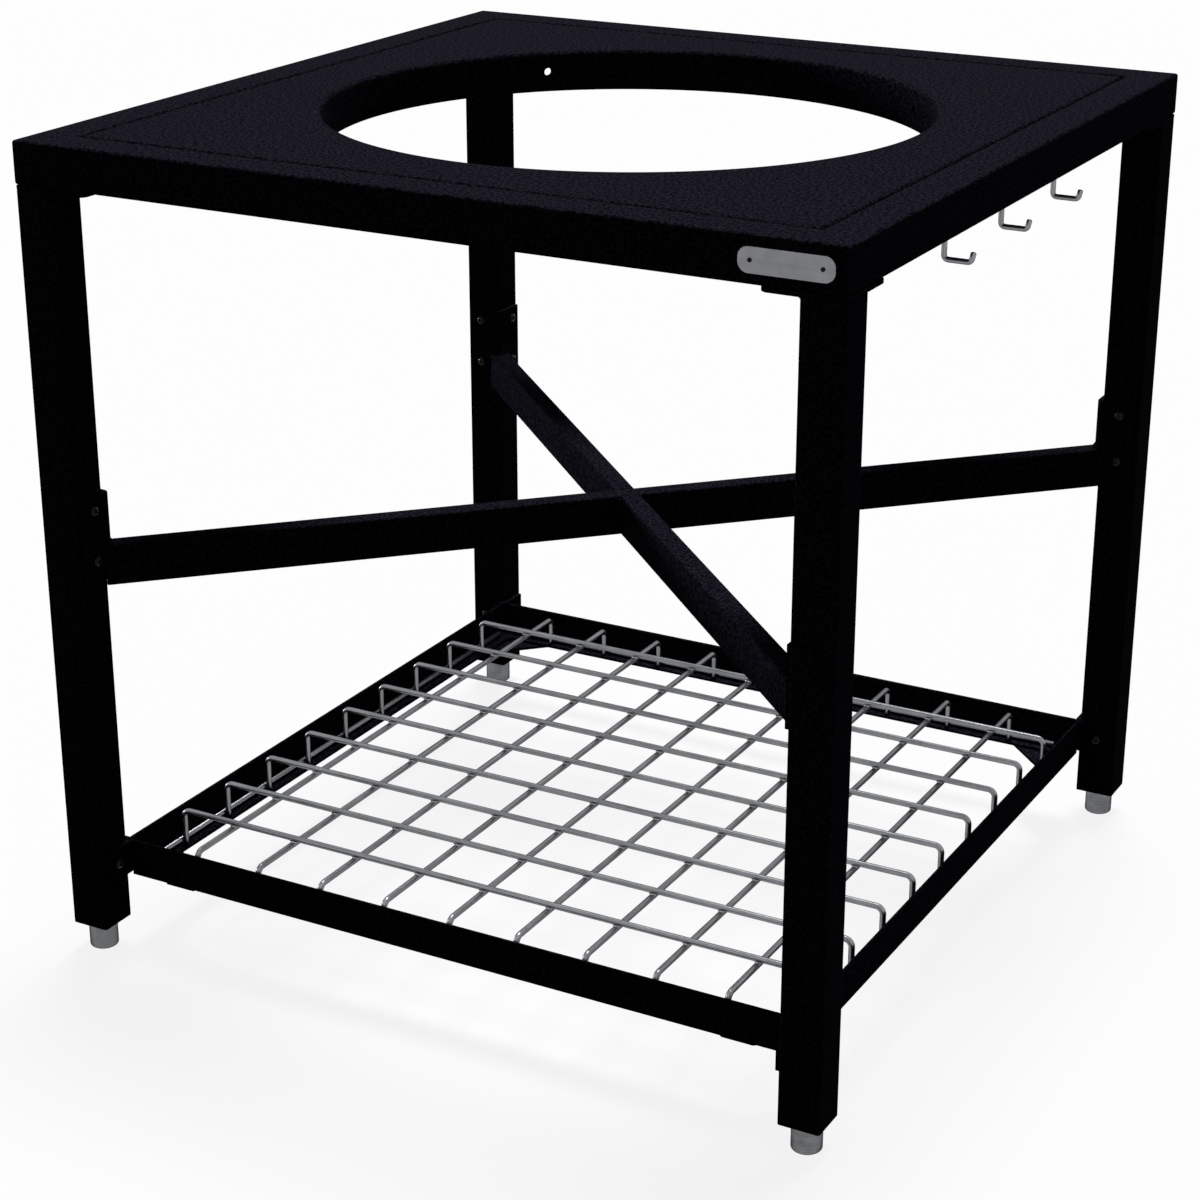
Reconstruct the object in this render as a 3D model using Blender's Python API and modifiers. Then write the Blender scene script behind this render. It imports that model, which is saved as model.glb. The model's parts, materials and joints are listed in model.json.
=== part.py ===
"""A square steel stand for a kamado grill.

Mitred tube rails carry a folded top panel with a rolled hoop in its round opening. The legs are tubes on head
plates. A cross of flat tube half way down carries the grill, and a tray of angle rails near the floor holds a
drop-in wire shelf. The stand has levelling feet and three tool hooks.

Metres, +Z up, front towards -Y. The origin is on the floor under the middle of the stand.
"""

from math import cos, pi, radians, sin, sqrt, tan

import bmesh
import bpy
from mathutils import Matrix, Vector

# The whole stand
SIDE = 0.800
HEIGHT = 0.800
GAP = 0.0003

# Square tube of the rails and the legs
TUBE = 0.040
TUBE_WALL = 0.002
TUBE_CORNER = 0.0025

# Folded top panel
PANEL_SHEET = 0.002
PANEL_BEND = 0.003
PANEL_FLANGE = 0.025
PANEL_BORDER = 0.069

# Rolled hoop in the opening, and its four small holes
HOOP_WALL = 0.005
HOOP_HEIGHT = 0.040
HOOP_EDGE = 0.004
HOOP_HOLE_RADIUS = 0.004
HOOP_HOLE_DROP = 0.020

# Head plates between the legs and the rails, and their countersunk screws' holes
HEAD_PLATE = 0.004
HEAD_PLATE_REACH = 0.035
HEAD_PLATE_CORNER = 0.008
HEAD_SCREW_RADIUS = 0.0033
HEAD_SCREW_SINK = 0.003

# Feet: a pad on a threaded stud, in a plug in the leg's end
FOOT_HEIGHT = 0.028
FOOT_RADIUS = 0.014
FOOT_EDGE = 0.0015
STUD_RADIUS = 0.005
STUD_IN_PAD = 0.014
STUD_IN_LEG = 0.036
PLUG_HEIGHT = 0.016
PLUG_CHAMFER = 0.0015

# Cross of flat tube from corner to corner
CROSS_TOP = 0.4185
CROSS_HEIGHT = 0.040
CROSS_THICKNESS = 0.020
CROSS_WALL = 0.002
CROSS_CORNER = 0.002

# Angle brackets round the legs' inner corners
BRACKET_PLATE = 0.005
BRACKET_BEND = 0.001
BRACKET_MARGIN = 0.006
CROSS_BRACKET_HEIGHT = 0.074
CROSS_BRACKET_RISE = 0.050
CROSS_BRACKET_HOLE_PITCH = 0.049
BOLT_HOLE_RADIUS = 0.0033

# Tray of angle rails
TRAY_BOTTOM = 0.0735
TRAY_HEIGHT = 0.037
TRAY_FLANGE = 0.020
TRAY_LEAF = 0.003
TRAY_ROOT = 0.003
TRAY_TOE = 0.0012

# Straps across the tray's corners
STRAP_WIDTH = 0.025
STRAP_THICKNESS = 0.003
STRAP_SETBACK = 0.003
STRAP_ARM = 0.082
STRAP_CORNER = 0.002

# Wire shelf
WIRE = 0.006
WIRE_COUNT = 9
WIRE_BEND = 0.007
WELD_SINK = 0.0006
SHELF_PLAY = 0.003
SHELF_RISE = 0.006
SHELF_END = 0.0598
RIM_LIFT = 0.0036
RIM_END = 0.010

# Tool hooks under the right rail
HOOK_COUNT = 3
HOOK_WIRE = 0.005
HOOK_PITCH = 0.133
HOOK_INSET = 0.011
HOOK_DROP = 0.0326
HOOK_ARM = 0.0245
HOOK_TIP = 0.0085
HOOK_LEAN = 0.002
HOOK_BEND = 0.004
HOOK_IN_RAIL = 0.008

# Name plate and its rivets
PLATE_LENGTH = 0.082
PLATE_HEIGHT = 0.021
PLATE_THICKNESS = 0.0012
PLATE_INSET = 0.010
PLATE_END = 0.009
RIVET_PITCH = 0.0612
RIVET_SHANK = 0.0012
RIVET_HEAD = 0.0019
RIVET_DOME = 0.0008
RIVET_LENGTH = 0.0045

# Facets, and the angles in degrees from which an edge counts as sharp
CORNER_STEPS = 3
WIRE_RESOLUTION = 2
HOOP_FACETS = 80
ROUND_FACETS = 20
HOLE_FACETS = 12
SHADING_ANGLE = 35
EDGE_ANGLE = 60

# What follows from the sizes above
HALF = SIDE / 2
INNER = HALF - TUBE
LEG_AXIS = HALF - TUBE / 2
RAIL_UNDERSIDE = HEIGHT - TUBE
HOOP_OUTER = INNER - PANEL_BORDER
HOOP_INNER = HOOP_OUTER - HOOP_WALL
LEG_TOP = RAIL_UNDERSIDE - HEAD_PLATE - 2 * GAP
BRACKET_FACE = INNER - GAP - BRACKET_PLATE
CORNER_FACE = BRACKET_FACE - GAP
TRAY_TOP = TRAY_BOTTOM + TRAY_HEIGHT
TRAY_SEAT = TRAY_BOTTOM + TRAY_LEAF
PLATE_X = HALF - PLATE_INSET - PLATE_LENGTH / 2
PLATE_Z = HEIGHT - TUBE / 2
CORNERS = ("front_left", "front_right", "back_right", "back_left")
SIDES = ("front", "right", "back", "left")


# Scene, collections and materials
def fresh_collection(name):
    collection = bpy.data.collections.new(name)
    bpy.context.scene.collection.children.link(collection)
    return collection


for old in list(bpy.data.objects):
    bpy.data.objects.remove(old)
PARTS = fresh_collection("kamado_grill_frame")
CUTTERS = fresh_collection("cutters")


def surface(name, colour, roughness, metallic):
    material = bpy.data.materials.new(name)
    material.use_nodes = True
    shader = material.node_tree.nodes["Principled BSDF"]
    shader.inputs["Base Color"].default_value = (*colour, 1)
    shader.inputs["Roughness"].default_value = roughness
    shader.inputs["Metallic"].default_value = metallic
    return material


BLACK_COAT = surface("black_powder_coat", (0.012, 0.011, 0.016), 0.55, 0.0)
BRIGHT_WIRE = surface("bright_wire", (0.55, 0.56, 0.58), 0.3, 1.0)
BRUSHED_STEEL = surface("brushed_steel", (0.42, 0.42, 0.43), 0.38, 1.0)
TURNED_STEEL = surface("turned_steel", (0.36, 0.37, 0.38), 0.42, 1.0)
BLACK_PLASTIC = surface("black_plastic", (0.015, 0.015, 0.016), 0.6, 0.0)


# Objects
def quarter_turn(quarter):
    return Matrix.Rotation(quarter * pi / 2, 4, "Z")


def part(name, data, material, location=(0, 0, 0), quarter=0):
    """Adds a piece, turned about the stand's middle by this many quarters."""
    obj = bpy.data.objects.new(name, data)
    if not data.materials:
        data.materials.append(material)
    obj.location = quarter_turn(quarter) @ Vector(location)
    obj.rotation_euler.z = quarter * pi / 2
    PARTS.objects.link(obj)
    return obj


def empty(name, location):
    obj = bpy.data.objects.new(name, None)
    obj.empty_display_size = TUBE
    obj.location = location
    PARTS.objects.link(obj)
    return obj


def cutter(name, mesh, matrix):
    obj = bpy.data.objects.new(name, mesh)
    obj.matrix_world = matrix
    obj.hide_render = True
    obj.display_type = "WIRE"
    CUTTERS.objects.link(obj)
    return obj


def combine(obj, other, operation="DIFFERENCE"):
    boolean = obj.modifiers.new(other.name, "BOOLEAN")
    boolean.operation = operation
    boolean.solver = "EXACT"
    boolean.object = other


# Shapes
def filleted(corners, radii, closed=True):
    """Rounds the corners of an outline or of an open path."""
    points = []
    last = len(corners) - 1
    for i, (corner, radius) in enumerate(zip(corners, radii)):
        here = Vector(corner)
        if radius <= 0 or not closed and i in (0, last):
            points.append(here)
            continue
        before = (Vector(corners[i - 1]) - here).normalized()
        after = (Vector(corners[(i + 1) % len(corners)]) - here).normalized()
        half_angle = before.angle(after) / 2
        centre = here + (before + after).normalized() * radius / sin(half_angle)
        start = (here + before * radius / tan(half_angle) - centre).normalized()
        end = (here + after * radius / tan(half_angle) - centre).normalized()
        turns = [step / CORNER_STEPS for step in range(CORNER_STEPS + 1)]
        points += [centre + start.slerp(end, turn) * radius for turn in turns]
    return points


def rectangle(width, height, radius):
    """A centred rectangle with round corners."""
    x, y = width / 2, height / 2
    return filleted([(-x, -y), (x, -y), (x, y), (-x, y)], [radius] * 4)


def curve_to_mesh(curve):
    """The closed mesh of a curve, with its caps welded on and its faces pointing out."""
    obj = bpy.data.objects.new(curve.name, curve)
    PARTS.objects.link(obj)
    graph = bpy.context.evaluated_depsgraph_get()
    mesh = bpy.data.meshes.new_from_object(obj.evaluated_get(graph))
    bpy.data.objects.remove(obj)
    bpy.data.curves.remove(curve)
    form = bmesh.new()
    form.from_mesh(mesh)
    bmesh.ops.remove_doubles(form, verts=form.verts, dist=1e-6)
    bmesh.ops.recalc_face_normals(form, faces=form.faces)
    form.to_mesh(mesh)
    form.free()
    return mesh


def add_spline(curve, points, closed):
    spline = curve.splines.new("POLY")
    spline.points.add(len(points) - 1)
    for knot, point in zip(spline.points, points):
        knot.co = (*Vector(point).to_3d(), 1)
    spline.use_cyclic_u = closed


def extruded(name, outlines, thickness):
    """A flat piece or a tube: closed outlines in XY, extruded evenly along Z."""
    curve = bpy.data.curves.new(name, "CURVE")
    curve.dimensions = "2D"
    curve.fill_mode = "BOTH"
    curve.extrude = thickness / 2
    for outline in outlines:
        add_spline(curve, outline, True)
    return smoothed(curve_to_mesh(curve))


def wire(name, paths, diameter):
    """Round wires with capped ends along these paths."""
    curve = bpy.data.curves.new(name, "CURVE")
    curve.dimensions = "3D"
    curve.bevel_depth = diameter / 2
    curve.bevel_resolution = WIRE_RESOLUTION
    curve.use_fill_caps = True
    for path in paths:
        add_spline(curve, path, False)
    return curve


def cylinder(name, radius, depth, facets, far_radius=None):
    """A cylinder or a cone along Z, centred on its middle."""
    mesh = bpy.data.meshes.new(name)
    form = bmesh.new()
    bmesh.ops.create_cone(
        form,
        cap_ends=True,
        segments=facets,
        radius1=radius,
        radius2=radius if far_radius is None else far_radius,
        depth=depth,
    )
    form.to_mesh(mesh)
    form.free()
    return smoothed(mesh)


def profile_mesh(name, profile):
    """The profile of a turned piece, from the top down its outer side. It closes if it stays off the axis."""
    mesh = bpy.data.meshes.new(name)
    form = bmesh.new()
    knots = [form.verts.new((x, 0, z)) for x, z in profile]
    for first, second in zip(knots, knots[1:]):
        form.edges.new((first, second))
    if profile[0][0] > 0:
        form.edges.new((knots[-1], knots[0]))
    form.to_mesh(mesh)
    form.free()
    return mesh


def revolved(obj, facets):
    """Turns a profile about the object's Z axis."""
    screw = obj.modifiers.new("revolve", "SCREW")
    screw.steps = facets
    screw.render_steps = facets
    screw.use_merge_vertices = True
    screw.merge_threshold = 0.00001
    return obj


def smoothed(mesh):
    mesh.shade_smooth()
    mesh.set_sharp_from_angle(angle=radians(SHADING_ANGLE))
    return mesh


def rotated(mesh, angle, axis):
    mesh.transform(Matrix.Rotation(angle, 4, axis))
    return mesh


def mitred(mesh, reach):
    """Cuts a bar's ends at 45 degrees. Reach is half its length through the origin, and more towards -Y."""
    for vertex in mesh.vertices:
        side = 1 if vertex.co.x > 0 else -1
        vertex.co.x = side * (reach - GAP / sqrt(2) - vertex.co.y)
    return mesh


def tube(name, width, height, corner, wall, length):
    """A tube with open ends along Z, centred on its middle."""
    inside_corner = max(corner - wall, wall / 4)
    inside = rectangle(width - 2 * wall, height - 2 * wall, inside_corner)
    form = bmesh.new()
    loops = []
    for outline in (rectangle(width, height, corner), inside):
        knots = [form.verts.new((*point, -length / 2)) for point in outline]
        loops += [form.edges.new((knots[i - 1], knots[i])) for i in range(len(knots))]
    ring = bmesh.ops.bridge_loops(form, edges=loops)["faces"]
    grown = bmesh.ops.extrude_face_region(form, geom=ring, use_keep_orig=True)["geom"]
    far_end = [item for item in grown if isinstance(item, bmesh.types.BMVert)]
    bmesh.ops.translate(form, vec=(0, 0, length), verts=far_end)
    bmesh.ops.recalc_face_normals(form, faces=form.faces)
    mesh = bpy.data.meshes.new(name)
    form.to_mesh(mesh)
    form.free()
    return smoothed(mesh)


def laid_along_x(mesh):
    """Lays down a bar made along Z, with its section's first axis along Y and its second along Z."""
    mesh.transform(Matrix(((0, 0, 1, 0), (1, 0, 0, 0), (0, 1, 0, 0), (0, 0, 0, 1))))
    return mesh


# The legs' corners with the brackets round them, which the cross and the tray are cut to fit
def corner_blocks():
    blocks = []
    side = HALF - CORNER_FACE
    middle = (HALF + CORNER_FACE) / 2
    for quarter, corner in enumerate(CORNERS):
        mesh = extruded("leg_corner", [rectangle(side, side, 0)], HEIGHT)
        place = quarter_turn(quarter) @ Matrix.Translation((-middle, -middle, HEIGHT / 2))
        blocks.append(cutter("leg_corner_" + corner, mesh, place))
    return blocks


# Top rails, mitred at the corners, with holes for the hooks and the rivets
def top_rails():
    mesh = mitred(laid_along_x(tube("rail", TUBE, TUBE, TUBE_CORNER, TUBE_WALL, SIDE)), LEG_AXIS)
    for quarter, side in enumerate(SIDES):
        rail = part("rail_" + side, mesh, BLACK_COAT, (0, -LEG_AXIS, HEIGHT - TUBE / 2), quarter)
        if side == "right":
            for index, y in enumerate(hook_places()):
                hole = cylinder("hook_hole", HOOK_WIRE / 2 + GAP, TUBE, HOLE_FACETS)
                place = Matrix.Translation((INNER + HOOK_INSET, y, RAIL_UNDERSIDE))
                combine(rail, cutter(f"hook_hole_{index + 1}", hole, place))
        if side == "front":
            for index, x in enumerate(rivet_places()):
                hole = cylinder("rivet_hole", RIVET_SHANK + GAP, TUBE, HOLE_FACETS)
                place = Matrix.Translation((x, -HALF, PLATE_Z)) @ Matrix.Rotation(pi / 2, 4, "X")
                combine(rail, cutter(f"rivet_hole_{index + 1}", hole, place))


# Folded panel between the rails, cut out for the hoop
def top_panel():
    half = INNER - GAP
    mesh = bpy.data.meshes.new("top_panel")
    form = bmesh.new()
    bmesh.ops.create_cube(form, size=1)
    bmesh.ops.scale(form, vec=(2 * half, 2 * half, PANEL_FLANGE), verts=form.verts)
    underside = [face for face in form.faces if face.normal.z < -0.5]
    bmesh.ops.delete(form, geom=underside, context="FACES_ONLY")
    form.to_mesh(mesh)
    form.free()
    panel = part("top_panel", mesh, BLACK_COAT, (0, 0, HEIGHT - PANEL_FLANGE / 2))
    fold = panel.modifiers.new("folded_edges", "BEVEL")
    fold.width = PANEL_BEND
    fold.segments = CORNER_STEPS
    sheet = panel.modifiers.new("sheet", "SOLIDIFY")
    sheet.thickness = PANEL_SHEET
    sheet.offset = -1
    sheet.use_even_offset = True
    opening = cylinder("opening", HOOP_OUTER + GAP, TUBE, HOOP_FACETS)
    combine(panel, cutter("panel_opening", opening, Matrix.Translation((0, 0, HEIGHT))))


# Hoop rolled from flat bar, with its inner top edge rounded
def support_hoop():
    bottom = HEIGHT - HOOP_HEIGHT
    corners = [(HOOP_OUTER, HEIGHT), (HOOP_OUTER, bottom), (HOOP_INNER, bottom), (HOOP_INNER, HEIGHT)]
    mesh = profile_mesh("support_hoop", filleted(corners, [0, 0, 0, HOOP_EDGE]))
    hoop = revolved(part("support_hoop", mesh, BLACK_COAT), HOOP_FACETS)
    for index, corner in enumerate(CORNERS):
        hole = rotated(cylinder("hoop_hole", HOOP_HOLE_RADIUS, 4 * HOOP_WALL, HOLE_FACETS), pi / 2, "Y")
        turn = Matrix.Rotation(pi / 4 + index * pi / 2, 4, "Z")
        place = turn @ Matrix.Translation((HOOP_INNER + HOOP_WALL / 2, 0, HEIGHT - HOOP_HOLE_DROP))
        combine(hoop, cutter("hoop_hole_" + corner, hole, place))


# Legs, head plates, plugs and feet, one of each at every corner
def legs():
    length = LEG_TOP - FOOT_HEIGHT
    mesh = tube("leg", TUBE, TUBE, TUBE_CORNER, TUBE_WALL, length)
    for quarter, corner in enumerate(CORNERS):
        part("leg_" + corner, mesh, BLACK_COAT, (-LEG_AXIS, -LEG_AXIS, FOOT_HEIGHT + length / 2), quarter)


def head_plates():
    near = -HALF
    far = -INNER + HEAD_PLATE_REACH
    corners = [(near, near), (far, near), (far, far), (near, far)]
    radii = [TUBE_CORNER, HEAD_PLATE_CORNER, HEAD_PLATE_CORNER, HEAD_PLATE_CORNER]
    mesh = extruded("head_plate", [filleted(corners, radii)], HEAD_PLATE)
    middle = RAIL_UNDERSIDE - GAP - HEAD_PLATE / 2
    beside_leg = -INNER + HEAD_PLATE_REACH / 2
    for quarter, corner in enumerate(CORNERS):
        plate = part("leg_head_plate_" + corner, mesh, BLACK_COAT, (0, 0, middle), quarter)
        turn = quarter_turn(quarter)
        places = ((beside_leg, -LEG_AXIS), (-LEG_AXIS, beside_leg))
        above = (SIDES[quarter], SIDES[quarter - 1])
        for index, ((x, y), side) in enumerate(zip(places, above)):
            name = f"head_screw_{corner}_{index + 1}"
            depth = HEAD_PLATE + 4 * TUBE_WALL
            hole = cylinder("screw_hole", HEAD_SCREW_RADIUS, depth, HOLE_FACETS)
            hole_cutter = cutter(name, hole, turn @ Matrix.Translation((x, y, middle)))
            combine(plate, hole_cutter)
            combine(bpy.data.objects["rail_" + side], hole_cutter)
            wide = HEAD_SCREW_RADIUS + HEAD_SCREW_SINK
            sink = cylinder("screw_sink", wide + GAP, HEAD_SCREW_SINK + GAP, HOLE_FACETS, HEAD_SCREW_RADIUS)
            low = middle - HEAD_PLATE / 2 + (HEAD_SCREW_SINK - GAP) / 2
            combine(plate, cutter(name + "_sink", sink, turn @ Matrix.Translation((x, y, low))))


def foot_plugs():
    side = TUBE - 2 * TUBE_WALL - 2 * GAP
    block = extruded("foot_plug", [rectangle(side, side, TUBE_CORNER)], PLUG_HEIGHT)
    place = (-LEG_AXIS, -LEG_AXIS, FOOT_HEIGHT + PLUG_HEIGHT / 2)
    for quarter, corner in enumerate(CORNERS):
        plug = part("foot_plug_" + corner, block, BLACK_PLASTIC, place, quarter)
        edge = plug.modifiers.new("chamfer", "BEVEL")
        edge.width = PLUG_CHAMFER
        edge.segments = 1
        edge.angle_limit = radians(EDGE_ANGLE)
        thread = cylinder("thread_hole", STUD_RADIUS + GAP, 2 * PLUG_HEIGHT, ROUND_FACETS)
        combine(plug, cutter("thread_hole_" + corner, thread, Matrix.Translation(plug.location)))


def feet():
    pad_height = FOOT_HEIGHT - GAP
    pad_mesh = cylinder("foot_pad", FOOT_RADIUS, pad_height, ROUND_FACETS)
    stud_length = STUD_IN_PAD + GAP + STUD_IN_LEG
    stud_mesh = cylinder("foot_stud", STUD_RADIUS, stud_length, ROUND_FACETS)
    socket_depth = STUD_IN_PAD + GAP
    for quarter, corner in enumerate(CORNERS):
        axis = quarter_turn(quarter) @ Vector((-LEG_AXIS, -LEG_AXIS, 0))
        foot = empty("foot_" + corner, axis)
        pad = part("foot_pad_" + corner, pad_mesh, TURNED_STEEL, (0, 0, pad_height / 2))
        pad.parent = foot
        edge = pad.modifiers.new("rounded_rim", "BEVEL")
        edge.width = FOOT_EDGE
        edge.segments = 2
        edge.angle_limit = radians(EDGE_ANGLE)
        socket = cylinder("stud_socket", STUD_RADIUS + GAP, 2 * socket_depth, ROUND_FACETS)
        combine(pad, cutter("stud_socket_" + corner, socket, Matrix.Translation((*axis.xy, pad_height))))
        bottom = pad_height - STUD_IN_PAD
        stud = part("foot_stud_" + corner, stud_mesh, BRUSHED_STEEL, (0, 0, bottom + stud_length / 2))
        stud.parent = foot


# Cross: one whole tube, and two that butt against its sides, all notched to fit the brackets
def cross_tube(name, length):
    return laid_along_x(tube(name, CROSS_THICKNESS, CROSS_HEIGHT, CROSS_CORNER, CROSS_WALL, length))


def cross_tubes(blocks):
    middle = CROSS_TOP - CROSS_HEIGHT / 2
    end = CORNER_FACE * sqrt(2) + CROSS_THICKNESS
    long_tube = part("cross_tube_long", cross_tube("cross_tube_long", 2 * end), BLACK_COAT, (0, 0, middle))
    long_tube.rotation_euler.z = pi / 4
    combine(long_tube, blocks[0])
    combine(long_tube, blocks[2])
    butt = CROSS_THICKNESS / 2 + GAP
    for side, angle, block in (("left", 3 * pi / 4, blocks[3]), ("right", -pi / 4, blocks[1])):
        name = "cross_tube_half_" + side
        mesh = cross_tube(name, end - butt)
        mesh.transform(Matrix.Translation(((end + butt) / 2, 0, 0)))
        half_tube = part(name, mesh, BLACK_COAT, (0, 0, middle))
        half_tube.rotation_euler.z = angle
        combine(half_tube, block)


# Angle brackets round the legs' inner corners, with a bolt hole or two through each wing and the leg's wall
def bracket_mesh(name, height):
    near = -HALF + BRACKET_MARGIN
    inside = -INNER + GAP
    outside = -BRACKET_FACE
    corners = [(near, inside), (inside, inside), (inside, near)]
    corners += [(outside, near), (outside, outside), (near, outside)]
    radii = [0, BRACKET_BEND, 0, 0, BRACKET_BEND + BRACKET_PLATE, 0]
    return extruded(name, [filleted(corners, radii)], height)


def brackets(prefix, height, middle, hole_heights):
    mesh = bracket_mesh(prefix, height)
    plate_middle = -INNER + GAP + BRACKET_PLATE / 2
    for quarter, corner in enumerate(CORNERS):
        bracket = part(prefix + "_" + corner, mesh, BLACK_COAT, (0, 0, middle), quarter)
        turn = quarter_turn(quarter)
        wings = ((plate_middle, -LEG_AXIS, "Y"), (-LEG_AXIS, plate_middle, "X"))
        for index, z in enumerate(hole_heights):
            for wing, (x, y, axis) in enumerate(wings):
                depth = BRACKET_PLATE + 4 * TUBE_WALL
                hole = cylinder("bolt_hole", BOLT_HOLE_RADIUS, depth, HOLE_FACETS)
                place = turn @ Matrix.Translation((x, y, z)) @ Matrix.Rotation(pi / 2, 4, axis)
                bolt_hole = cutter(f"{prefix}_hole_{corner}_{index + 1}_{wing + 1}", hole, place)
                combine(bracket, bolt_hole)
                combine(bpy.data.objects["leg_" + corner], bolt_hole)


def cross_brackets():
    top = CROSS_TOP + CROSS_BRACKET_RISE
    middle = top - CROSS_BRACKET_HEIGHT / 2
    half_pitch = CROSS_BRACKET_HOLE_PITCH / 2
    brackets("cross_bracket", CROSS_BRACKET_HEIGHT, middle, (middle - half_pitch, middle + half_pitch))


def tray_brackets():
    middle = (TRAY_SEAT + TRAY_TOP) / 2
    brackets("tray_bracket", TRAY_TOP - TRAY_SEAT, middle, (middle,))


# Tray rails: angles with the leaf upright outside and the flange inwards, mitred at the corners
def tray_rails(blocks):
    corners = [(0, 0), (TRAY_FLANGE, 0), (TRAY_FLANGE, TRAY_LEAF), (TRAY_LEAF, TRAY_LEAF)]
    corners += [(TRAY_LEAF, TRAY_HEIGHT), (0, TRAY_HEIGHT)]
    section = filleted(corners, [0, 0, TRAY_TOE, TRAY_ROOT, TRAY_TOE, 0])
    mesh = mitred(laid_along_x(extruded("tray_rail", [section], SIDE)), INNER)
    for quarter, side in enumerate(SIDES):
        rail = part("tray_rail_" + side, mesh, BLACK_COAT, (0, -INNER, TRAY_BOTTOM), quarter)
        combine(rail, blocks[quarter])
        combine(rail, blocks[(quarter + 1) % 4])


# Straps under the tray's corners, cut off in line with the rails
def tray_straps():
    edge = INNER - STRAP_SETBACK
    inner_sum = 2 * INNER - STRAP_ARM
    outer_sum = inner_sum + STRAP_WIDTH * sqrt(2)
    near, far = inner_sum - edge, outer_sum - edge
    corners = [(-far, -edge), (-near, -edge), (-edge, -near), (-edge, -far)]
    mesh = extruded("tray_strap", [filleted(corners, [STRAP_CORNER] * 4)], STRAP_THICKNESS)
    middle = TRAY_BOTTOM - GAP - STRAP_THICKNESS / 2
    for quarter, corner in enumerate(CORNERS):
        part("tray_strap_" + corner, mesh, BLACK_COAT, (0, 0, middle), quarter)


# Wire shelf: two crossed ladders of wires whose ends are bent down to stand on the tray's flanges
def shelf_ladder(name, height, quarter, parent):
    """Bent wires along X and the two straight wires that join their ends, then turned by quarters."""
    rim_line = INNER - TRAY_LEAF - SHELF_PLAY - WIRE / 2
    drop_line = rim_line - WIRE + WELD_SINK
    outermost = drop_line - SHELF_END
    foot = TRAY_SEAT + GAP
    bent = []
    for index in range(WIRE_COUNT):
        y = outermost * (2 * index / (WIRE_COUNT - 1) - 1)
        corners = [(-drop_line, y, foot), (-drop_line, y, height)]
        corners += [(drop_line, y, height), (drop_line, y, foot)]
        bent.append(filleted(corners, [WIRE_BEND] * 4, closed=False))
    wires = smoothed(curve_to_mesh(wire(name, bent, WIRE)))
    ladder = part(name, wires, BRIGHT_WIRE, quarter=quarter)
    ladder.parent = parent
    end = drop_line - RIM_END
    level = TRAY_SEAT + RIM_LIFT
    sides = [[(x, -end, level), (x, end, level)] for x in (-rim_line, rim_line)]
    rims = cutter(name + "_rims", curve_to_mesh(wire(name + "_rims", sides, WIRE)), ladder.matrix_basis)
    combine(ladder, rims, "UNION")


def wire_shelf():
    lift = empty("wire_shelf", (0, 0, 0))
    top_wires = TRAY_TOP + SHELF_RISE - WIRE / 2
    shelf_ladder("shelf_cross_wires", top_wires, 0, lift)
    shelf_ladder("shelf_long_wires", top_wires - WIRE - GAP, 1, lift)


# Tool hooks: a shank through the underside of the right rail, an arm outwards and a tip turned up
def hook_places():
    return [(index - (HOOK_COUNT - 1) / 2) * HOOK_PITCH for index in range(HOOK_COUNT)]


def tool_hooks():
    x = INNER + HOOK_INSET
    top = RAIL_UNDERSIDE + HOOK_IN_RAIL
    arm = RAIL_UNDERSIDE - HOOK_DROP
    corners = [(x, 0, top), (x, 0, arm), (x + HOOK_ARM, 0, arm)]
    corners += [(x + HOOK_ARM + HOOK_LEAN, 0, arm + HOOK_TIP)]
    path = filleted(corners, [HOOK_BEND] * 4, closed=False)
    for index, y in enumerate(hook_places()):
        hook = wire("tool_hook", [path], HOOK_WIRE)
        part(f"tool_hook_{index + 1}", hook, BRIGHT_WIRE, (0, y, 0))


# Name plate with rounded ends, and its two domed rivets
def rivet_places():
    return [PLATE_X - RIVET_PITCH / 2, PLATE_X + RIVET_PITCH / 2]


def name_plate():
    blank = rectangle(PLATE_LENGTH, PLATE_HEIGHT, PLATE_END)
    mesh = rotated(extruded("name_plate", [blank], PLATE_THICKNESS), pi / 2, "X")
    plate = part("name_plate", mesh, BRUSHED_STEEL, (PLATE_X, -HALF - GAP - PLATE_THICKNESS / 2, PLATE_Z))
    for side, x in zip(("left", "right"), rivet_places()):
        hole = cylinder("plate_hole", RIVET_SHANK + GAP, 4 * PLATE_THICKNESS, HOLE_FACETS)
        place = Matrix.Translation((x, -HALF, PLATE_Z)) @ Matrix.Rotation(pi / 2, 4, "X")
        combine(plate, cutter("plate_hole_" + side, hole, place))
        arc = [(RIVET_HEAD * sin(turn), RIVET_DOME * cos(turn)) for turn in (0, pi / 6, pi / 3, pi / 2)]
        profile = arc + [(RIVET_SHANK, 0), (RIVET_SHANK, -RIVET_LENGTH), (0, -RIVET_LENGTH)]
        place = (x, -HALF - 2 * GAP - PLATE_THICKNESS, PLATE_Z)
        rivet = part("name_plate_rivet_" + side, profile_mesh("rivet", profile), BLACK_COAT, place)
        revolved(rivet, HOLE_FACETS)
        rivet.rotation_euler.x = pi / 2


leg_corners = corner_blocks()
top_rails()
top_panel()
support_hoop()
legs()
head_plates()
foot_plugs()
feet()
cross_tubes(leg_corners)
cross_brackets()
tray_rails(leg_corners)
tray_brackets()
tray_straps()
wire_shelf()
tool_hooks()
name_plate()
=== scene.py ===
"""The looks of a square steel stand for a kamado grill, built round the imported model."""

import json
from math import cos, pi, radians, sin, sqrt, tan

import bmesh
import bpy
from mathutils import Matrix, Vector

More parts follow.
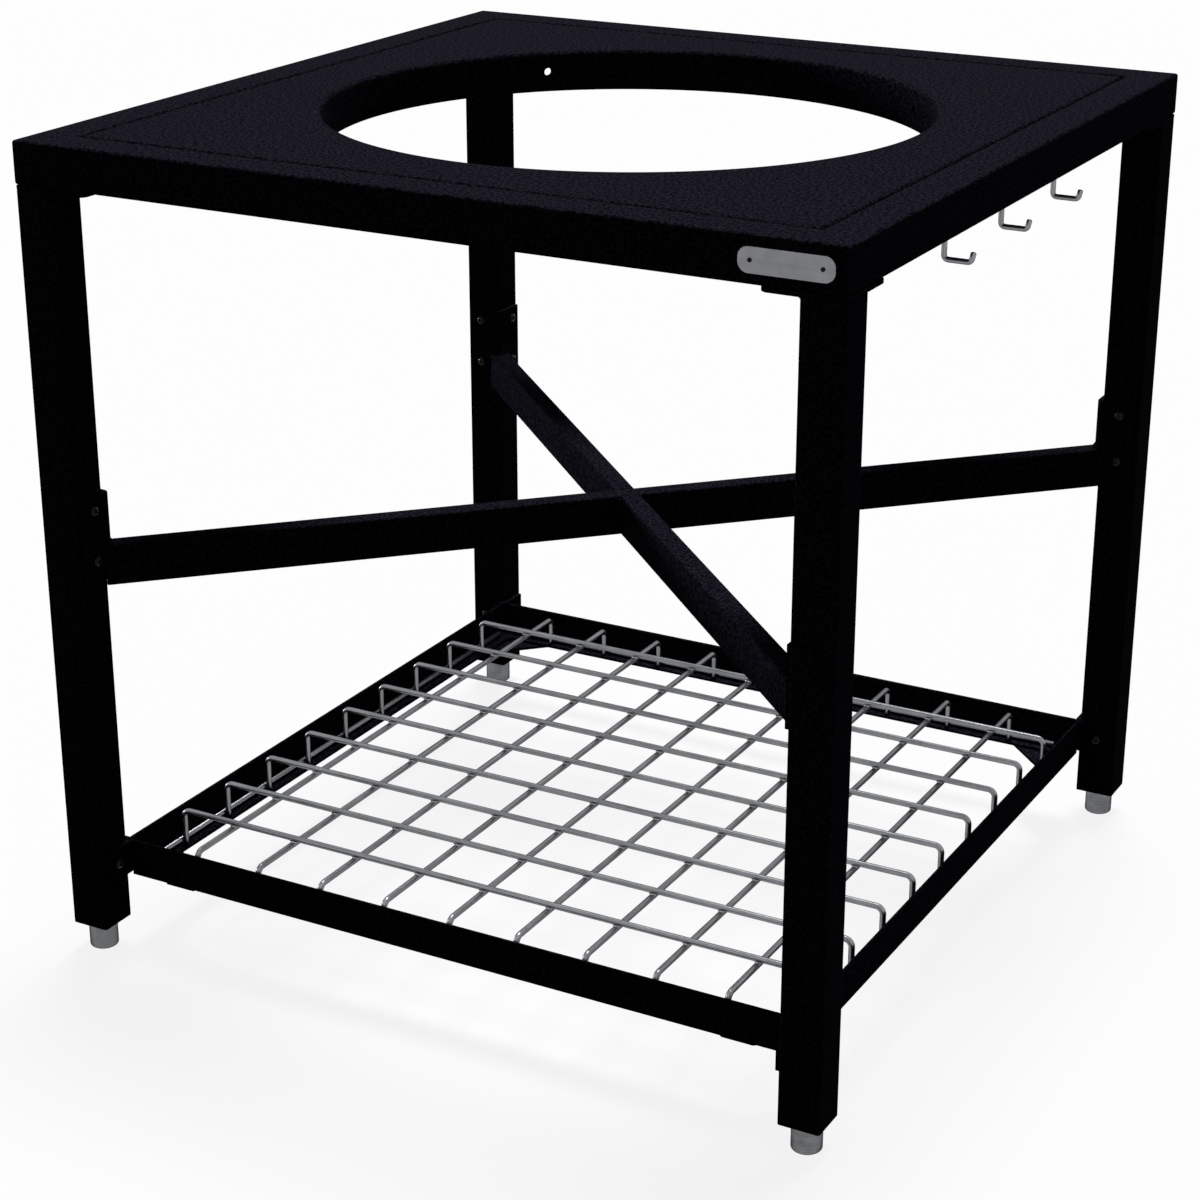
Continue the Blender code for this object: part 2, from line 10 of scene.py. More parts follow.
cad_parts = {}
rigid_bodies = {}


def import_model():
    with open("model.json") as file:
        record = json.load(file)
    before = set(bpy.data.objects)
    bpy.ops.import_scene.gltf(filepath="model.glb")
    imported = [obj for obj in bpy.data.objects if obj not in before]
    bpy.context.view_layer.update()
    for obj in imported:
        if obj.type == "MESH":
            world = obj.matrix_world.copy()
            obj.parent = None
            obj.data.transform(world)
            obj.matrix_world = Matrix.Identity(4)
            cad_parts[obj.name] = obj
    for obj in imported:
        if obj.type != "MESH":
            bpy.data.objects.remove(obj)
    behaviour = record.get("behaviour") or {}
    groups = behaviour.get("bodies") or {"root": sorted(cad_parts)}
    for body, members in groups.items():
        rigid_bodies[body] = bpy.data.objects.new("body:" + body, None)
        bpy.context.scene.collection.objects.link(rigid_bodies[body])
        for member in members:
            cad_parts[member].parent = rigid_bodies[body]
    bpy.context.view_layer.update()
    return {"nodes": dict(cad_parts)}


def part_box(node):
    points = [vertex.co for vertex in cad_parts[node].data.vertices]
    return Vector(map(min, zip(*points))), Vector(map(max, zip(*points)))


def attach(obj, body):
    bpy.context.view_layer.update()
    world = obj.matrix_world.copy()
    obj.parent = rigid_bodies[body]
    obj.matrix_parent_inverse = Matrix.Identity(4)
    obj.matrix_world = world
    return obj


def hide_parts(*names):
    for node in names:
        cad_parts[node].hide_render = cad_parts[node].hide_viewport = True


for leftover in list(bpy.data.objects):
    bpy.data.objects.remove(leftover)
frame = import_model()
nodes = frame["nodes"]

# Corners and sides, each a quarter turn from the one before it
CORNERS = ("front_left", "front_right", "back_right", "back_left")
SIDES = ("front", "right", "back", "left")

# Sizes that the nodes' boxes give
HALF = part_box("rail_right")[1].x
RAIL_LOW, TOP = (corner.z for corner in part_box("rail_right"))
TUBE = TOP - RAIL_LOW
INNER = HALF - TUBE
LEG_AXIS = HALF - TUBE / 2
PLATE_LOW, PLATE_TOP = (corner.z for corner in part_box("leg_head_plate_front_left"))
BRACKET_FACE = -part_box("cross_bracket_front_left")[1].x
CROSS_BRACKET_LOW, CROSS_BRACKET_TOP = (corner.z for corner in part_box("cross_bracket_front_left"))
CROSS_LOW, CROSS_TOP = (corner.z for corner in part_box("cross_tube_long"))
TRAY_BRACKET_LOW, TRAY_BRACKET_TOP = (corner.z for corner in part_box("tray_bracket_front_left"))
TRAY_LOW, TRAY_TOP = (corner.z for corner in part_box("tray_rail_front"))
HOOP_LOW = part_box("support_hoop")[0].z
HOOP_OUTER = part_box("support_hoop")[1].x
PANEL_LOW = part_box("top_panel")[0].z

# Sizes of the model that no box gives, in metres
GAP = 0.0003
TUBE_WALL = 0.002
TUBE_CORNER = 0.0025
PANEL_SHEET = 0.002
PANEL_BEND = 0.003
HOOP_WALL = 0.005
HOOP_EDGE = 0.004
HOOP_HOLES = 4
HOOP_HOLE_RADIUS = 0.004
HOOP_HOLE_DROP = 0.020
HEAD_PLATE_REACH = 0.035
HEAD_PLATE_CORNER = 0.008
NAME_PLATE_END = 0.009
CROSS_THICKNESS = 0.020
BOLT_PITCH = 0.049
STRAP_SETBACK = 0.003
STRAP_ARM = 0.082
STRAP_WIDTH = 0.025
WIRE = 0.006
WIRE_COUNT = 9
WIRE_BEND = 0.007
WIRE_END = 0.0598           # from the last wire of a ladder to the ends of the wires across it
RIM_SINK = 0.0006           # how deep the wires' ends are fused into the rim wires
RIM_LIFT = 0.0036           # from the tray's flange to the middle of a rim wire
HOOK_WIRE = 0.005
HOOK_BEND = 0.004
HOOK_LEAN = 0.002
HOOK_RISE = 0.0085
STUD_RADIUS = 0.005
STUD_IN_PAD = 0.014
RIVET_BODY = 0.0012

# The slit that shows round the panel
PANEL_SLIT = 0.003

# How finely the pieces are made
WIRE_SIDES = 16
HOOK_SIDES = 24
BEND_STEPS = 9
HOOK_BEND_STEPS = 12
FOLD_STEPS = 6
HOOP_EDGE_STEPS = 6
PLATE_END_STEPS = 16
SEAM_BEND_STEPS = 6
RING_FACETS = 256
TURNED_FACETS = 64
SCREW_FACETS = 36

# Edges of pieces sharper than this, in degrees, stay sharp when the faces are smooth
SHARP = 38
PLATE_SHARP = 25
ROUND_SHARP = 50
THREAD_SHARP = 60
NUGGET_SHARP = 80

# Broken edges of the nodes that stay, and of the pieces
RAIL_EDGE = 0.0002
TUBE_EDGE = 0.0003
TRAY_EDGE = 0.0004
BRACKET_EDGE = 0.0005
NODE_EDGE_STEPS = 2
NODE_SHARP = radians(40)
SAME_POINT = 0.00001
WIRE_EDGE = 0.0005
HEAD_PLATE_EDGE = 0.0004
NAME_PLATE_EDGE = 0.0002
HOOP_NICK = 0.0006

# Holes: how far a cutter goes through a sheet, and how far it starts before the face
CUT_REACH = 0.01
CUT_START = 0.0005

# Bolts with button heads
BOLT_LENGTH = 0.011
BOLT_SHANK = 0.0030
BOLT_TIP = 0.0022
BOLT_TIP_LENGTH = 0.0008
BOLT_HEAD = 0.0050
BOLT_RIM = 0.0003
BOLT_RISE = 0.0031
BOLT_DOME = radians(62)
BOLT_DOME_STEPS = 8
BOLT_SOCKET_DEPTH = 0.0018
BOLT_SOCKET_LIP = 0.0001

# Countersunk screws. The rim is in pairs of what is added to the head's radius and of heights.
SCREW_PLACES = ((-INNER + HEAD_PLATE_REACH / 2, -LEG_AXIS), (-LEG_AXIS, -INNER + HEAD_PLATE_REACH / 2))
SCREW_HEAD = 0.0060
SCREW_SINK = 0.0030
SCREW_ROOM = 0.0003
SCREW_TIP_LENGTH = 0.002
SCREW_RIM = ((-0.0002, -0.0003), (-0.0002, -0.0001), (-0.0004, 0.0))
SCREW_SOCKET_DEPTH = 0.0016
SCREW_SOCKET_LIP = 0.0002

# Hexagon sockets: half the width across flats, the depth of the edge, and the cone that a drill leaves
SOCKET = 0.0020
SOCKET_EDGE = 0.0002
SOCKET_CONE = 0.0006
SOCKET_CONE_END = 0.12
SOCKET_UV_STEP = 0.001

# Rivets: the smallest ring of the dome is a share of the head
RIVET_STEPS = 8
RIVET_FACETS = 40
RIVET_TIP = 0.04

# Feet, in pairs. The sole is in radii and heights, from its middle to its rim. The shoulder is in
# what is taken from the pad's radius and from its top, the stud's foot in what is taken from its
# radius and in heights.
PAD_SOLE = ((0.0003, 0.0005), (0.0042, 0.0005), (0.0050, 0.0))
PAD_RIM = 0.0026
PAD_RIM_STEPS = 6
PAD_SHOULDER = ((0.0, 0.0008), (0.0002, 0.0003), (0.0007, 0.0))
PAD_LIP = 0.0005
PAD_MIDDLE = 0.0003
STUD_FOOT = ((0.001, 0.0), (0.0004, 0.0006))
STUD_TIP = 0.0006
STUD_TIP_LENGTH = 0.0012

# Threads of the studs: the flank is the height in each row of a turn, as a share of the depth
THREAD_PITCH = 0.0015
THREAD_DEPTH = 0.0008
THREAD_FLANK = (0.0, 0.5, 1.0, 1.0, 0.5, 0.0)
THREAD_ROWS = len(THREAD_FLANK)
THREAD_FACETS = 24
THREAD_IN_PAD = 0.002

# Beads of weld: their radii, then the scales' length, height and lag, then the slow changes of
# thickness, each as a share of it, a rate along the bead and how much the phase shifts it
BEAD = 0.0030
LEG_BEAD = 0.0038
MIDDLE_BEAD = 0.0026
SMALL_BEAD = 0.0019
TRAY_BEAD = 0.0016
BEAD_SIDES = 12
BEAD_END = 0.12
RIPPLE = 0.0014
RIPPLE_STEPS = 5
RIPPLE_SWELL = 0.16
RIPPLE_LAG = 0.55
WANDERS = ((0.05, 410, 9), (0.04, 990, 5))

# Seams: where they start and end, and the outward directions of the cross's
CROSS_TOP_BEAD = BEAD * 0.9
CROSS_SEAM_BEND = 0.006
CROSS_SEAM_SIDES = ((0.38, -0.92, 0), (-0.92, 0.38, 0))
CROSS_SEAM_OVER = (0.5, 0.5, 0.7)
MIDDLE_SEAM_INSET = 0.002
TRAY_SEAM_LOW = 0.001
TRAY_SEAM_TOP = 0.0005
STRAP_SEAM_INSET = 0.002
PANEL_STITCHES = (-0.24, 0.0, 0.24)
PANEL_STITCH = 0.015
HOOP_STITCHES = 8
HOOP_STITCH = 0.016
HOOP_STITCH_DROP = 0.0006
HOOP_STITCH_STEPS = 8
MITRE_SINK = 0.00015
MITRE_ROOM = 0.00002
MITRE_STEPS = 3
MITRE_UVS = (0.0, 0.001, 0.002, 0.003)

# Spot welds of the shelf: beads on the rim wires, and nuggets at the crossings, which are in radii and
# heights up to their middle
RIM_SPOT = 0.0022
NUGGET = ((0.0002, -0.0015), (0.0022, -0.0012), (0.0033, -0.0006), (0.0036, 0.0))
NUGGET_FACETS = 12
NUGGET_VARIES = 0.07
NUGGET_SPIN = 0.3

# Shader nodes: the ranges in which most values of noise lie, the cosines at which an edge starts and
# is full, and a Mix node's sockets for its factor and colours
WIDE = (0.30, 0.70)
NARROW = (0.35, 0.65)
EDGE_COSINES = (0.995, 0.80)
EDGE_SAMPLES = 4
MIX_INPUTS = (0, 6, 7)
MIX_OUTPUT = 2

# Floor, light and camera. A lamp is its name, the direction that it comes from, its strength and its
# angle in degrees. The camera's tilt is below level and its turn is from the front to the right.
WHITE = (1.0, 1.0, 1.0, 1)
FLOOR_REACH = 60.0
FLOOR_COLOUR = (0.08, 0.08, 0.08)
FLOOR_GLOW = 0.87
WORLD_LIGHT = 0.06
LAMPS = (("key", (-0.05, 0.25, 0.97), 2.6, 20), ("side", (-1.0, 0.0, 0.06), 1.4, 8))
CAMERA_PLACE = (1.184, -2.219, 1.290)
CAMERA_TILT = 21.4
CAMERA_TURN = 28.7
CAMERA_LENS = 81.2
CAMERA_SENSOR = 36.0


# Points and faces
def turned(quarter):
    """A turn by quarters, from the front left corner or the front side to the others."""
    return Matrix.Rotation(quarter * pi / 2, 4, "Z")


def facing(point, direction):
    """A place at a point with its Z axis along a direction."""
    return Matrix.Translation(point) @ Vector(direction).to_track_quat("Z", "Y").to_matrix().to_4x4()


def circle(radius, height, facets, middle=(0.0, 0.0)):
    """The points of a level circle."""
    x, y = middle
    turns = [2 * pi * k / facets for k in range(facets)]
    return [(x + radius * cos(turn), y + radius * sin(turn), height) for turn in turns]


def square(half):
    return [(-half, -half), (half, -half), (half, half), (-half, half)]


def filleted(corners, radii, closed=False, steps=BEND_STEPS):
    """Rounds the corners of an outline or of an open path."""
    points = []
    last = len(corners) - 1
    for i, (corner, radius) in enumerate(zip(corners, radii)):
        here = Vector(corner)
        if radius <= 0 or not closed and i in (0, last):
            points.append(here)
            continue
        before = (Vector(corners[i - 1]) - here).normalized()
        after = (Vector(corners[(i + 1) % len(corners)]) - here).normalized()
        half_angle = before.angle(after) / 2
        centre = here + (before + after).normalized() * radius / sin(half_angle)
        start = (here + before * radius / tan(half_angle) - centre).normalized()
        end = (here + after * radius / tan(half_angle) - centre).normalized()
        points += [centre + start.slerp(end, step / steps) * radius for step in range(steps + 1)]
    return points


def directions(path):
    """The direction along a path at each of its points."""
    along = []
    for i, point in enumerate(path):
        before = point - path[i - 1] if i else path[1] - point
        after = path[i + 1] - point if i + 1 < len(path) else before
        along.append((before.normalized() + after.normalized()).normalized())
    return along


def evenly(path, step, sides):
    """Points a step apart along a path, with the side direction that goes with each."""
    places, found = [], []
    for i in range(len(path) - 1):
        start, end = path[i], path[i + 1]
        count = max(1, round((end - start).length / step))
        for k in range(count):
            share = k / count
            places.append(start.lerp(end, share))
            found.append(sides[i].lerp(sides[i + 1], share).normalized())
    places.append(path[-1])
    found.append(sides[-1].normalized())
    return places, found


def linked(name, data):
    """A new object in the scene."""
    made = bpy.data.objects.new(name, data)
    bpy.context.scene.collection.objects.link(made)
    return made


def turned_outwards(mesh):
    """Makes the faces of a closed mesh face outwards."""
    form = bmesh.new()
    form.from_mesh(mesh)
    bmesh.ops.recalc_face_normals(form, faces=form.faces)
    form.to_mesh(mesh)
    form.free()


class Form:
    """The points, faces and UVs of one piece."""

    def __init__(self):
        self.points = []
        self.faces = []
        self.uvs = []

    def skin(self, rings, lengths, looped=False):
        """Joins rings of as many points each. The UVs are the length along and the turn round."""
        base, count = len(self.points), len(rings[0])
        for ring in rings:
            self.points += [Vector(point) for point in ring]
        spans = len(rings) if looped else len(rings) - 1
        for i in range(spans):
            here = base + i * count
            there = base + (i + 1) % len(rings) * count
            near, far = lengths[i], lengths[(i + 1) % len(rings)]
            for k in range(count):
                n = (k + 1) % count
                self.faces.append((here + k, here + n, there + n, there + k))
                turns = (k / count, (k + 1) / count)
                self.uvs.append(((near, turns[0]), (near, turns[1]), (far, turns[1]), (far, turns[0])))
        if not looped:
            first = tuple(range(base + count - 1, base - 1, -1))
            last = tuple(range(here + count, here + 2 * count))
            for face, length in ((first, lengths[0]), (last, lengths[-1])):
                self.faces.append(face)
                self.uvs.append(((length, 0),) * count)

    def bar(self, path, radius, sides=WIRE_SIDES):
        """A round bar along a path, with its cut ends broken."""
        path = [Vector(point) for point in path]
        first = (path[1] - path[0]).normalized() * WIRE_EDGE
        last = (path[-1] - path[-2]).normalized() * WIRE_EDGE
        path = [path[0], path[0] + first, *path[1:-1], path[-1] - last, path[-1]]
        radii = [radius - WIRE_EDGE, *[radius] * (len(path) - 2), radius - WIRE_EDGE]
        side = (path[1] - path[0]).orthogonal().normalized()
        rings, lengths, length = [], [], 0.0
        for i, (point, along) in enumerate(zip(path, directions(path))):
            side = (side - along * side.dot(along)).normalized()
            other = along.cross(side)
            length += (point - path[i - 1]).length if i else 0.0
            lengths.append(length)
            turns = [2 * pi * k / sides for k in range(sides)]
            rings.append([point + (side * cos(turn) + other * sin(turn)) * radii[i] for turn in turns])
        self.skin(rings, lengths)

    def bead(self, path, outward, radius, phase=0.0, turn=Matrix()):
        """A bead of weld along a seam, in scales that overlap, with round ends.

        Outward is one direction, or a list of one for each point. The turn moves the whole bead.
        """
        if not isinstance(outward, list):
            outward = [outward] * len(path)
        path = [turn @ Vector(point) for point in path]
        outward = [(turn @ Vector(side)).normalized() for side in outward]
        places, sides = evenly(path, RIPPLE / RIPPLE_STEPS, outward)
        lengths = [0.0]
        for before, after in zip(places, places[1:]):
            lengths.append(lengths[-1] + (after - before).length)
        rings = []
        for point, along, side, length in zip(places, directions(places), sides, lengths):
            side = (side - along * side.dot(along)).normalized()
            other = along.cross(side)
            from_end = min(length, lengths[-1] - length, radius)
            end = max(BEAD_END, sqrt(max(0.0, 1 - (1 - from_end / radius) ** 2)))
            scale = 1 + RIPPLE_SWELL * (abs(sin(pi * (length / RIPPLE + phase))) - 0.5)
            wander = sum((share * sin(length * rate + shift * phase) for share, rate, shift in WANDERS), 1)
            here = radius * end * scale * wander
            ring = []
            for k in range(BEAD_SIDES):
                spin = 2 * pi * k / BEAD_SIDES
                lag = along * (RIPPLE_LAG * radius * end * (cos(spin) - 1))
                ring.append(point + (side * cos(spin) + other * sin(spin)) * here + lag)
            rings.append(ring)
        self.skin(rings, lengths)

    def lathe(self, profile, place, facets=TURNED_FACETS):
        """A turned shape from (radius, height) pairs, with a flat face at each end."""
        rings, lengths, length = [], [], 0.0
        for i, (radius, height) in enumerate(profile):
            if i:
                length += (Vector(profile[i]) - Vector(profile[i - 1])).length
            lengths.append(length)
            rings.append([place @ Vector(point) for point in circle(radius, height, facets)])
        self.skin(rings, lengths)

    def made(self, name, material, body="frame", slot="black_coat", replaces=(), sharp=SHARP):
        """The finished piece, riding on its body."""
        mesh = bpy.data.meshes.new(name)
        mesh.from_pydata(self.points, [], self.faces)
        layer = mesh.uv_layers.new(name="UVMap")
        layer.data.foreach_set("uv", [value for face in self.uvs for pair in face for value in pair])
        turned_outwards(mesh)
        mesh.shade_smooth()
        mesh.set_sharp_from_angle(angle=radians(sharp))
        mesh.materials.append(material)
        piece = linked(name, mesh)
        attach(piece, body)
        if replaces:
            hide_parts(*replaces)
        return piece


def cut(piece, form, name):
    """Cuts a form out of a piece and applies it, with the piece's other modifiers."""
    mesh = bpy.data.meshes.new(name)
    mesh.from_pydata(form.points, [], form.faces)
    turned_outwards(mesh)
    cutter = linked(name, mesh)
    boolean = piece.modifiers.new(name, "BOOLEAN")
    boolean.operation = "DIFFERENCE"
    boolean.solver = "EXACT"
    boolean.object = cutter
    graph = bpy.context.evaluated_depsgraph_get()
    result = bpy.data.meshes.new_from_object(piece.evaluated_get(graph))
    piece.modifiers.clear()
    piece.data = result
    bpy.data.objects.remove(cutter)
    result.shade_smooth()
    result.set_sharp_from_angle(angle=radians(SHARP))


# Materials
class Nodes:
    """A tree of shader nodes, and short ways to add to it."""

    def __init__(self, owner):
        owner.use_nodes = True
        self.tree = owner.node_tree

    def feed(self, socket, value):
        """Links a socket to another node's, or sets its value."""
        if isinstance(value, bpy.types.NodeSocket):
            self.tree.links.new(value, socket)
        else:
            socket.default_value = value

    def node(self, kind, settings=None, **inputs):
        made = self.tree.nodes.new(kind)
        for key, value in (settings or {}).items():
            setattr(made, key, value)
        for key, value in inputs.items():
            self.feed(made.inputs[key.replace("_", " ")], value)
        return made

    def numbered(self, kind, settings, numbers, values):
        """A node whose sockets share their names, so that they are fed by their numbers."""
        made = self.node(kind, settings)
        for number, value in zip(numbers, values):
            self.feed(made.inputs[number], value)
        return made

    def maths(self, operation, first, second):
        made = self.numbered("ShaderNodeMath", {"operation": operation}, (0, 1), (first, second))
        return made.outputs[0]

    def mix(self, share, first, second):
        """Two colours, the first where the share is 0 and the second where it is 1."""
        made = self.numbered("ShaderNodeMix", {"data_type": "RGBA"}, MIX_INPUTS, (share, first, second))
        return made.outputs[MIX_OUTPUT]

    def mix_shaders(self, share, first, second):
        """Two shaders, the first where the share is 0 and the second where it is 1."""
        return self.numbered("ShaderNodeMixShader", {}, (0, 1, 2), (share, first, second)).outputs[0]

    def seen(self):
        """1 for what the camera sees, also in a gloss or through glass, and 0 for what only lights."""
        path = self.node("ShaderNodeLightPath").outputs
        opaque = self.maths("MAXIMUM", path["Is Camera Ray"], path["Is Glossy Ray"])
        return self.maths("MAXIMUM", opaque, path["Is Transmission Ray"])


class Surface(Nodes):
    """A material with a Principled shader."""

    def __init__(self, name, colour, roughness, metallic, specular=0.5):
        self.material = bpy.data.materials.new(name)
        super().__init__(self.material)
        self.shader = self.tree.nodes["Principled BSDF"]
        self.shader.inputs["Base Color"].default_value = (*colour, 1)
        self.shader.inputs["Roughness"].default_value = roughness
        self.shader.inputs["Metallic"].default_value = metallic
        self.shader.inputs["Specular IOR Level"].default_value = specular

    def set(self, name, value):
        self.feed(self.shader.inputs[name], value)

    def place(self, scale=(1, 1, 1), source="Object"):
        coordinates = self.node("ShaderNodeTexCoord").outputs[source]
        return self.node("ShaderNodeMapping", Vector=coordinates, Scale=scale).outputs["Vector"]

    def noise(self, place, scale, detail=2.0, roughness=0.5):
        made = self.node("ShaderNodeTexNoise", Vector=place, Scale=scale, Detail=detail, Roughness=roughness)
        return made.outputs["Fac"]

    def ramp(self, value, spread, ends):
        """Goes from one end to the other as the value crosses its spread. The ends are numbers or colours."""
        if isinstance(ends[0], tuple):
            return self.mix(self.ramp(value, spread, (0.0, 1.0)), (*ends[0], 1), (*ends[1], 1))
        made = self.node("ShaderNodeMapRange", Value=value, From_Min=spread[0], From_Max=spread[1],
                         To_Min=ends[0], To_Max=ends[1])
        return made.outputs["Result"]

    def edges(self, radius):
        """How much a point is near an outer edge, from 0 to 1."""
        rounded = self.node("ShaderNodeBevel", {"samples": EDGE_SAMPLES}, Radius=radius).outputs["Normal"]
        normal = self.node("ShaderNodeNewGeometry").outputs["Normal"]
        made = self.numbered("ShaderNodeVectorMath", {"operation": "DOT_PRODUCT"}, (0, 1), (rounded, normal))
        return self.ramp(made.outputs["Value"], EDGE_COSINES, (0.0, 1.0))

    def bump(self, height, strength, distance):
        made = self.node("ShaderNodeBump", Height=height, Strength=strength, Distance=distance)
        self.set("Normal", made.outputs["Normal"])


def powder_coat(name, grain=1500.0, gloss=0.0):
    """A fine-textured blue-black powder coat with paler flecks that are painted glints of its grain, a
    painted highlight along the edges, and shinier along the edges.
    """
    coat = Surface(name, (0.0055, 0.005, 0.008), 0.5, 0.0, specular=0.0002)
    place = coat.place()
    fine = coat.noise(place, scale=grain, roughness=0.6)
    cloud = coat.noise(place, scale=14.0, detail=4.0, roughness=0.6)
    painted_glint_noise = coat.noise(place, scale=330.0, roughness=0.55)
    patch = coat.noise(place, scale=260.0)
    edge = coat.edges(radius=0.0009)
    ground = coat.ramp(cloud, WIDE, ((0.0034, 0.0029, 0.0068), (0.0044, 0.0038, 0.0078)))
    # The paler flecks are painted glints: colour standing for the light that the coat's fine grain catches
    with_painted_glints = coat.mix(coat.ramp(painted_glint_noise, (0.44, 0.58), (0.0, 1.0)), ground, (0.0184, 0.0170, 0.0248, 1))
    # A painted highlight along the outer edges, broken up in patches, standing for the light that the rounded
    # edges catch
    painted_edge_highlight = coat.maths("MULTIPLY", edge, coat.ramp(patch, NARROW, (0.15, 0.75)))
    coat.set("Base Color", coat.mix(painted_edge_highlight, with_painted_glints, (0.020, 0.019, 0.026, 1)))
    rough = coat.maths("ADD", coat.ramp(cloud, WIDE, (0.52 - gloss, 0.60 - gloss)),
                       coat.ramp(fine, WIDE, (-0.05, 0.05)))
    coat.set("Roughness", coat.maths("SUBTRACT", rough, coat.maths("MULTIPLY", edge, 0.1)))
    coat.bump(fine, strength=0.55, distance=0.00022)
    return coat.material


def streaked(name, plain, tint, stretch, detail, roughness, cloud, tones, dull, bump,
             source="Object", share=0.6, spread=NARROW):
    """Bare metal with fine streaks under a soft cloud.

    Plain is the colour and roughness of the bare shader, and tint that of its gloss. Stretch, detail
    and roughness are the streaks' and cloud is a scale. The tones and dull are the ends of the colour
    and of the shader's roughness, bump is a strength and a distance, and share is the streaks' part
    in the tone.
    """
    metal = Surface(name, *plain, metallic=1.0)
    metal.set("Specular Tint", (*tint, 1))
    streak = metal.noise(metal.place(stretch, source), 1.0, detail, roughness)
    clouds = metal.noise(metal.place(), cloud)
    tone = metal.maths("ADD", metal.maths("MULTIPLY", streak, share),
                       metal.maths("MULTIPLY", clouds, 1 - share))
    metal.set("Base Color", metal.ramp(tone, spread, tones))
    metal.set("Roughness", metal.ramp(streak, WIDE, dull))
    metal.bump(streak, *bump)
    return metal.material


def clouded(name, plain, cloud, grain, tones, dull, cloud_bump=None, grain_bump=None, spread=NARROW):
    """A finish with soft clouds of colour and a fine grain.

    Plain is the colour, roughness, metallic and specular level of the bare shader. Cloud and grain are
    a scale and a detail, and the tones and dull are the ends of the colour and of the shader's
    roughness. One of the two bumps is given, as a strength and a distance.
    """
    finish = Surface(name, *plain)
    clouds = finish.noise(finish.place(), *cloud)
    grains = finish.noise(finish.place(), *grain)
    finish.set("Base Color", finish.ramp(clouds, spread, tones))
    finish.set("Roughness", finish.ramp(grains, WIDE, dull))
    if cloud_bump:
        finish.bump(clouds, *cloud_bump)
    else:
        finish.bump(grains, *grain_bump)
    return finish.material


COAT = powder_coat("black_powder_coat")
WELD_COAT = powder_coat("coated_weld", grain=900.0, gloss=0.1)

# Drawn wire, streaked along its length
BRIGHT = streaked(
    "bright_drawn_wire", plain=((0.295, 0.302, 0.317), 0.2), tint=(0.10, 0.10, 0.115), source="UV",
    stretch=(9.0, 22.0, 1.0), detail=4.0, roughness=0.6, cloud=45.0, share=0.65, spread=(0.32, 0.66),
    tones=((0.165, 0.170, 0.180), (0.295, 0.302, 0.317)), dull=(0.30, 0.36), bump=(0.03, 0.00002))

# Bare sheet, brushed along X
PLATE_STEEL = streaked(
    "brushed_plate", plain=((0.2, 0.205, 0.215), 0.42), tint=(1.0, 1.0, 1.0),
    stretch=(16.0, 16.0, 2600.0), detail=5.0, roughness=0.65, cloud=70.0,
    tones=((0.175, 0.178, 0.190), (0.250, 0.253, 0.268)), dull=(0.36, 0.52), bump=(0.2, 0.00005))

# Steel with the fine rings that a lathe leaves
FOOT_STEEL = streaked(
    "turned_steel", plain=((0.3, 0.31, 0.32), 0.34), tint=(0.2, 0.2, 0.22),
    stretch=(6.0, 6.0, 1700.0), detail=3.0, roughness=0.6, cloud=120.0,
    tones=((0.12, 0.125, 0.132), (0.20, 0.206, 0.216)), dull=(0.28, 0.44), bump=(0.25, 0.00008))

# Zinc plating with its faint warm and cool clouds
ZINC = clouded(
    "zinc_plating", plain=((0.5, 0.5, 0.49), 0.3, 1.0), cloud=(190.0, 3.0), grain=(900.0, 2.0),
    tones=((0.42, 0.43, 0.45), (0.56, 0.55, 0.5)), dull=(0.24, 0.38), cloud_bump=(0.1, 0.0001))

# Oiled black bolts
BOLT_BLACK = clouded(
    "black_oxide", plain=((0.02, 0.02, 0.022), 0.3, 0.0, 0.09), cloud=(160.0, 2.0), grain=(1400.0, 2.0),
    tones=((0.003, 0.003, 0.0045), (0.006, 0.006, 0.008)), dull=(0.18, 0.28), grain_bump=(0.15, 0.0001))

# Black moulded plastic with a fine spark-eroded grain
PLASTIC = clouded(
    "black_plastic", plain=((0.014, 0.014, 0.015), 0.55, 0.0, 0.3), cloud=(90.0, 2.0),
    grain=(2200.0, 1.0), tones=((0.011, 0.011, 0.012), (0.018, 0.018, 0.019)), dull=(0.48, 0.62),
    grain_bump=(0.3, 0.0001), spread=WIDE)

# Where wires were fused: a little duller, with a faint straw and blue heat tint, and paler than the wire as a
# painted highlight for the glints at the crossings
SPOT = clouded(
    "spot_weld", plain=((0.4, 0.4, 0.41), 0.34, 1.0), cloud=(420.0, 2.0), grain=(1500.0, 2.0),
    tones=((0.30, 0.307, 0.335), (0.46, 0.445, 0.41)), dull=(0.28, 0.45), cloud_bump=(0.3, 0.0002),
    spread=(0.38, 0.62))


# The model's own nodes
def dressed(name, material, bevel=0.0):
    """Gives a node its material, joins its doubled points and bevels or splits its sharp edges."""
    node = nodes[name]
    mesh = node.data
    mesh.shade_smooth()
    for layer in ("custom_normal", "sharp_edge"):
        if layer in mesh.attributes:
            mesh.attributes.remove(mesh.attributes[layer])
    mesh.materials.clear()
    mesh.materials.append(material)
    welded = node.modifiers.new("points", "WELD")
    welded.merge_threshold = SAME_POINT
    if bevel:
        edge = node.modifiers.new("edges", "BEVEL")
        edge.width = bevel
        edge.segments = NODE_EDGE_STEPS
        edge.limit_method = "ANGLE"
        edge.angle_limit = NODE_SHARP
    else:
        split = node.modifiers.new("edges", "EDGE_SPLIT")
        split.split_angle = NODE_SHARP
    node.modifiers.new("faces", "WEIGHTED_NORMAL")


def dressed_nodes():
    for side in SIDES:
        dressed("rail_" + side, COAT, RAIL_EDGE)
        dressed("tray_rail_" + side, COAT, TRAY_EDGE)
    for corner in CORNERS:
        dressed("leg_" + corner, COAT, TUBE_EDGE)
        for prefix in ("cross_bracket_", "tray_bracket_", "tray_strap_"):
            dressed(prefix + corner, COAT, BRACKET_EDGE)
        dressed("foot_plug_" + corner, PLASTIC)
    for name in ("cross_tube_long", "cross_tube_half_left", "cross_tube_half_right"):
        dressed(name, COAT, TUBE_EDGE)


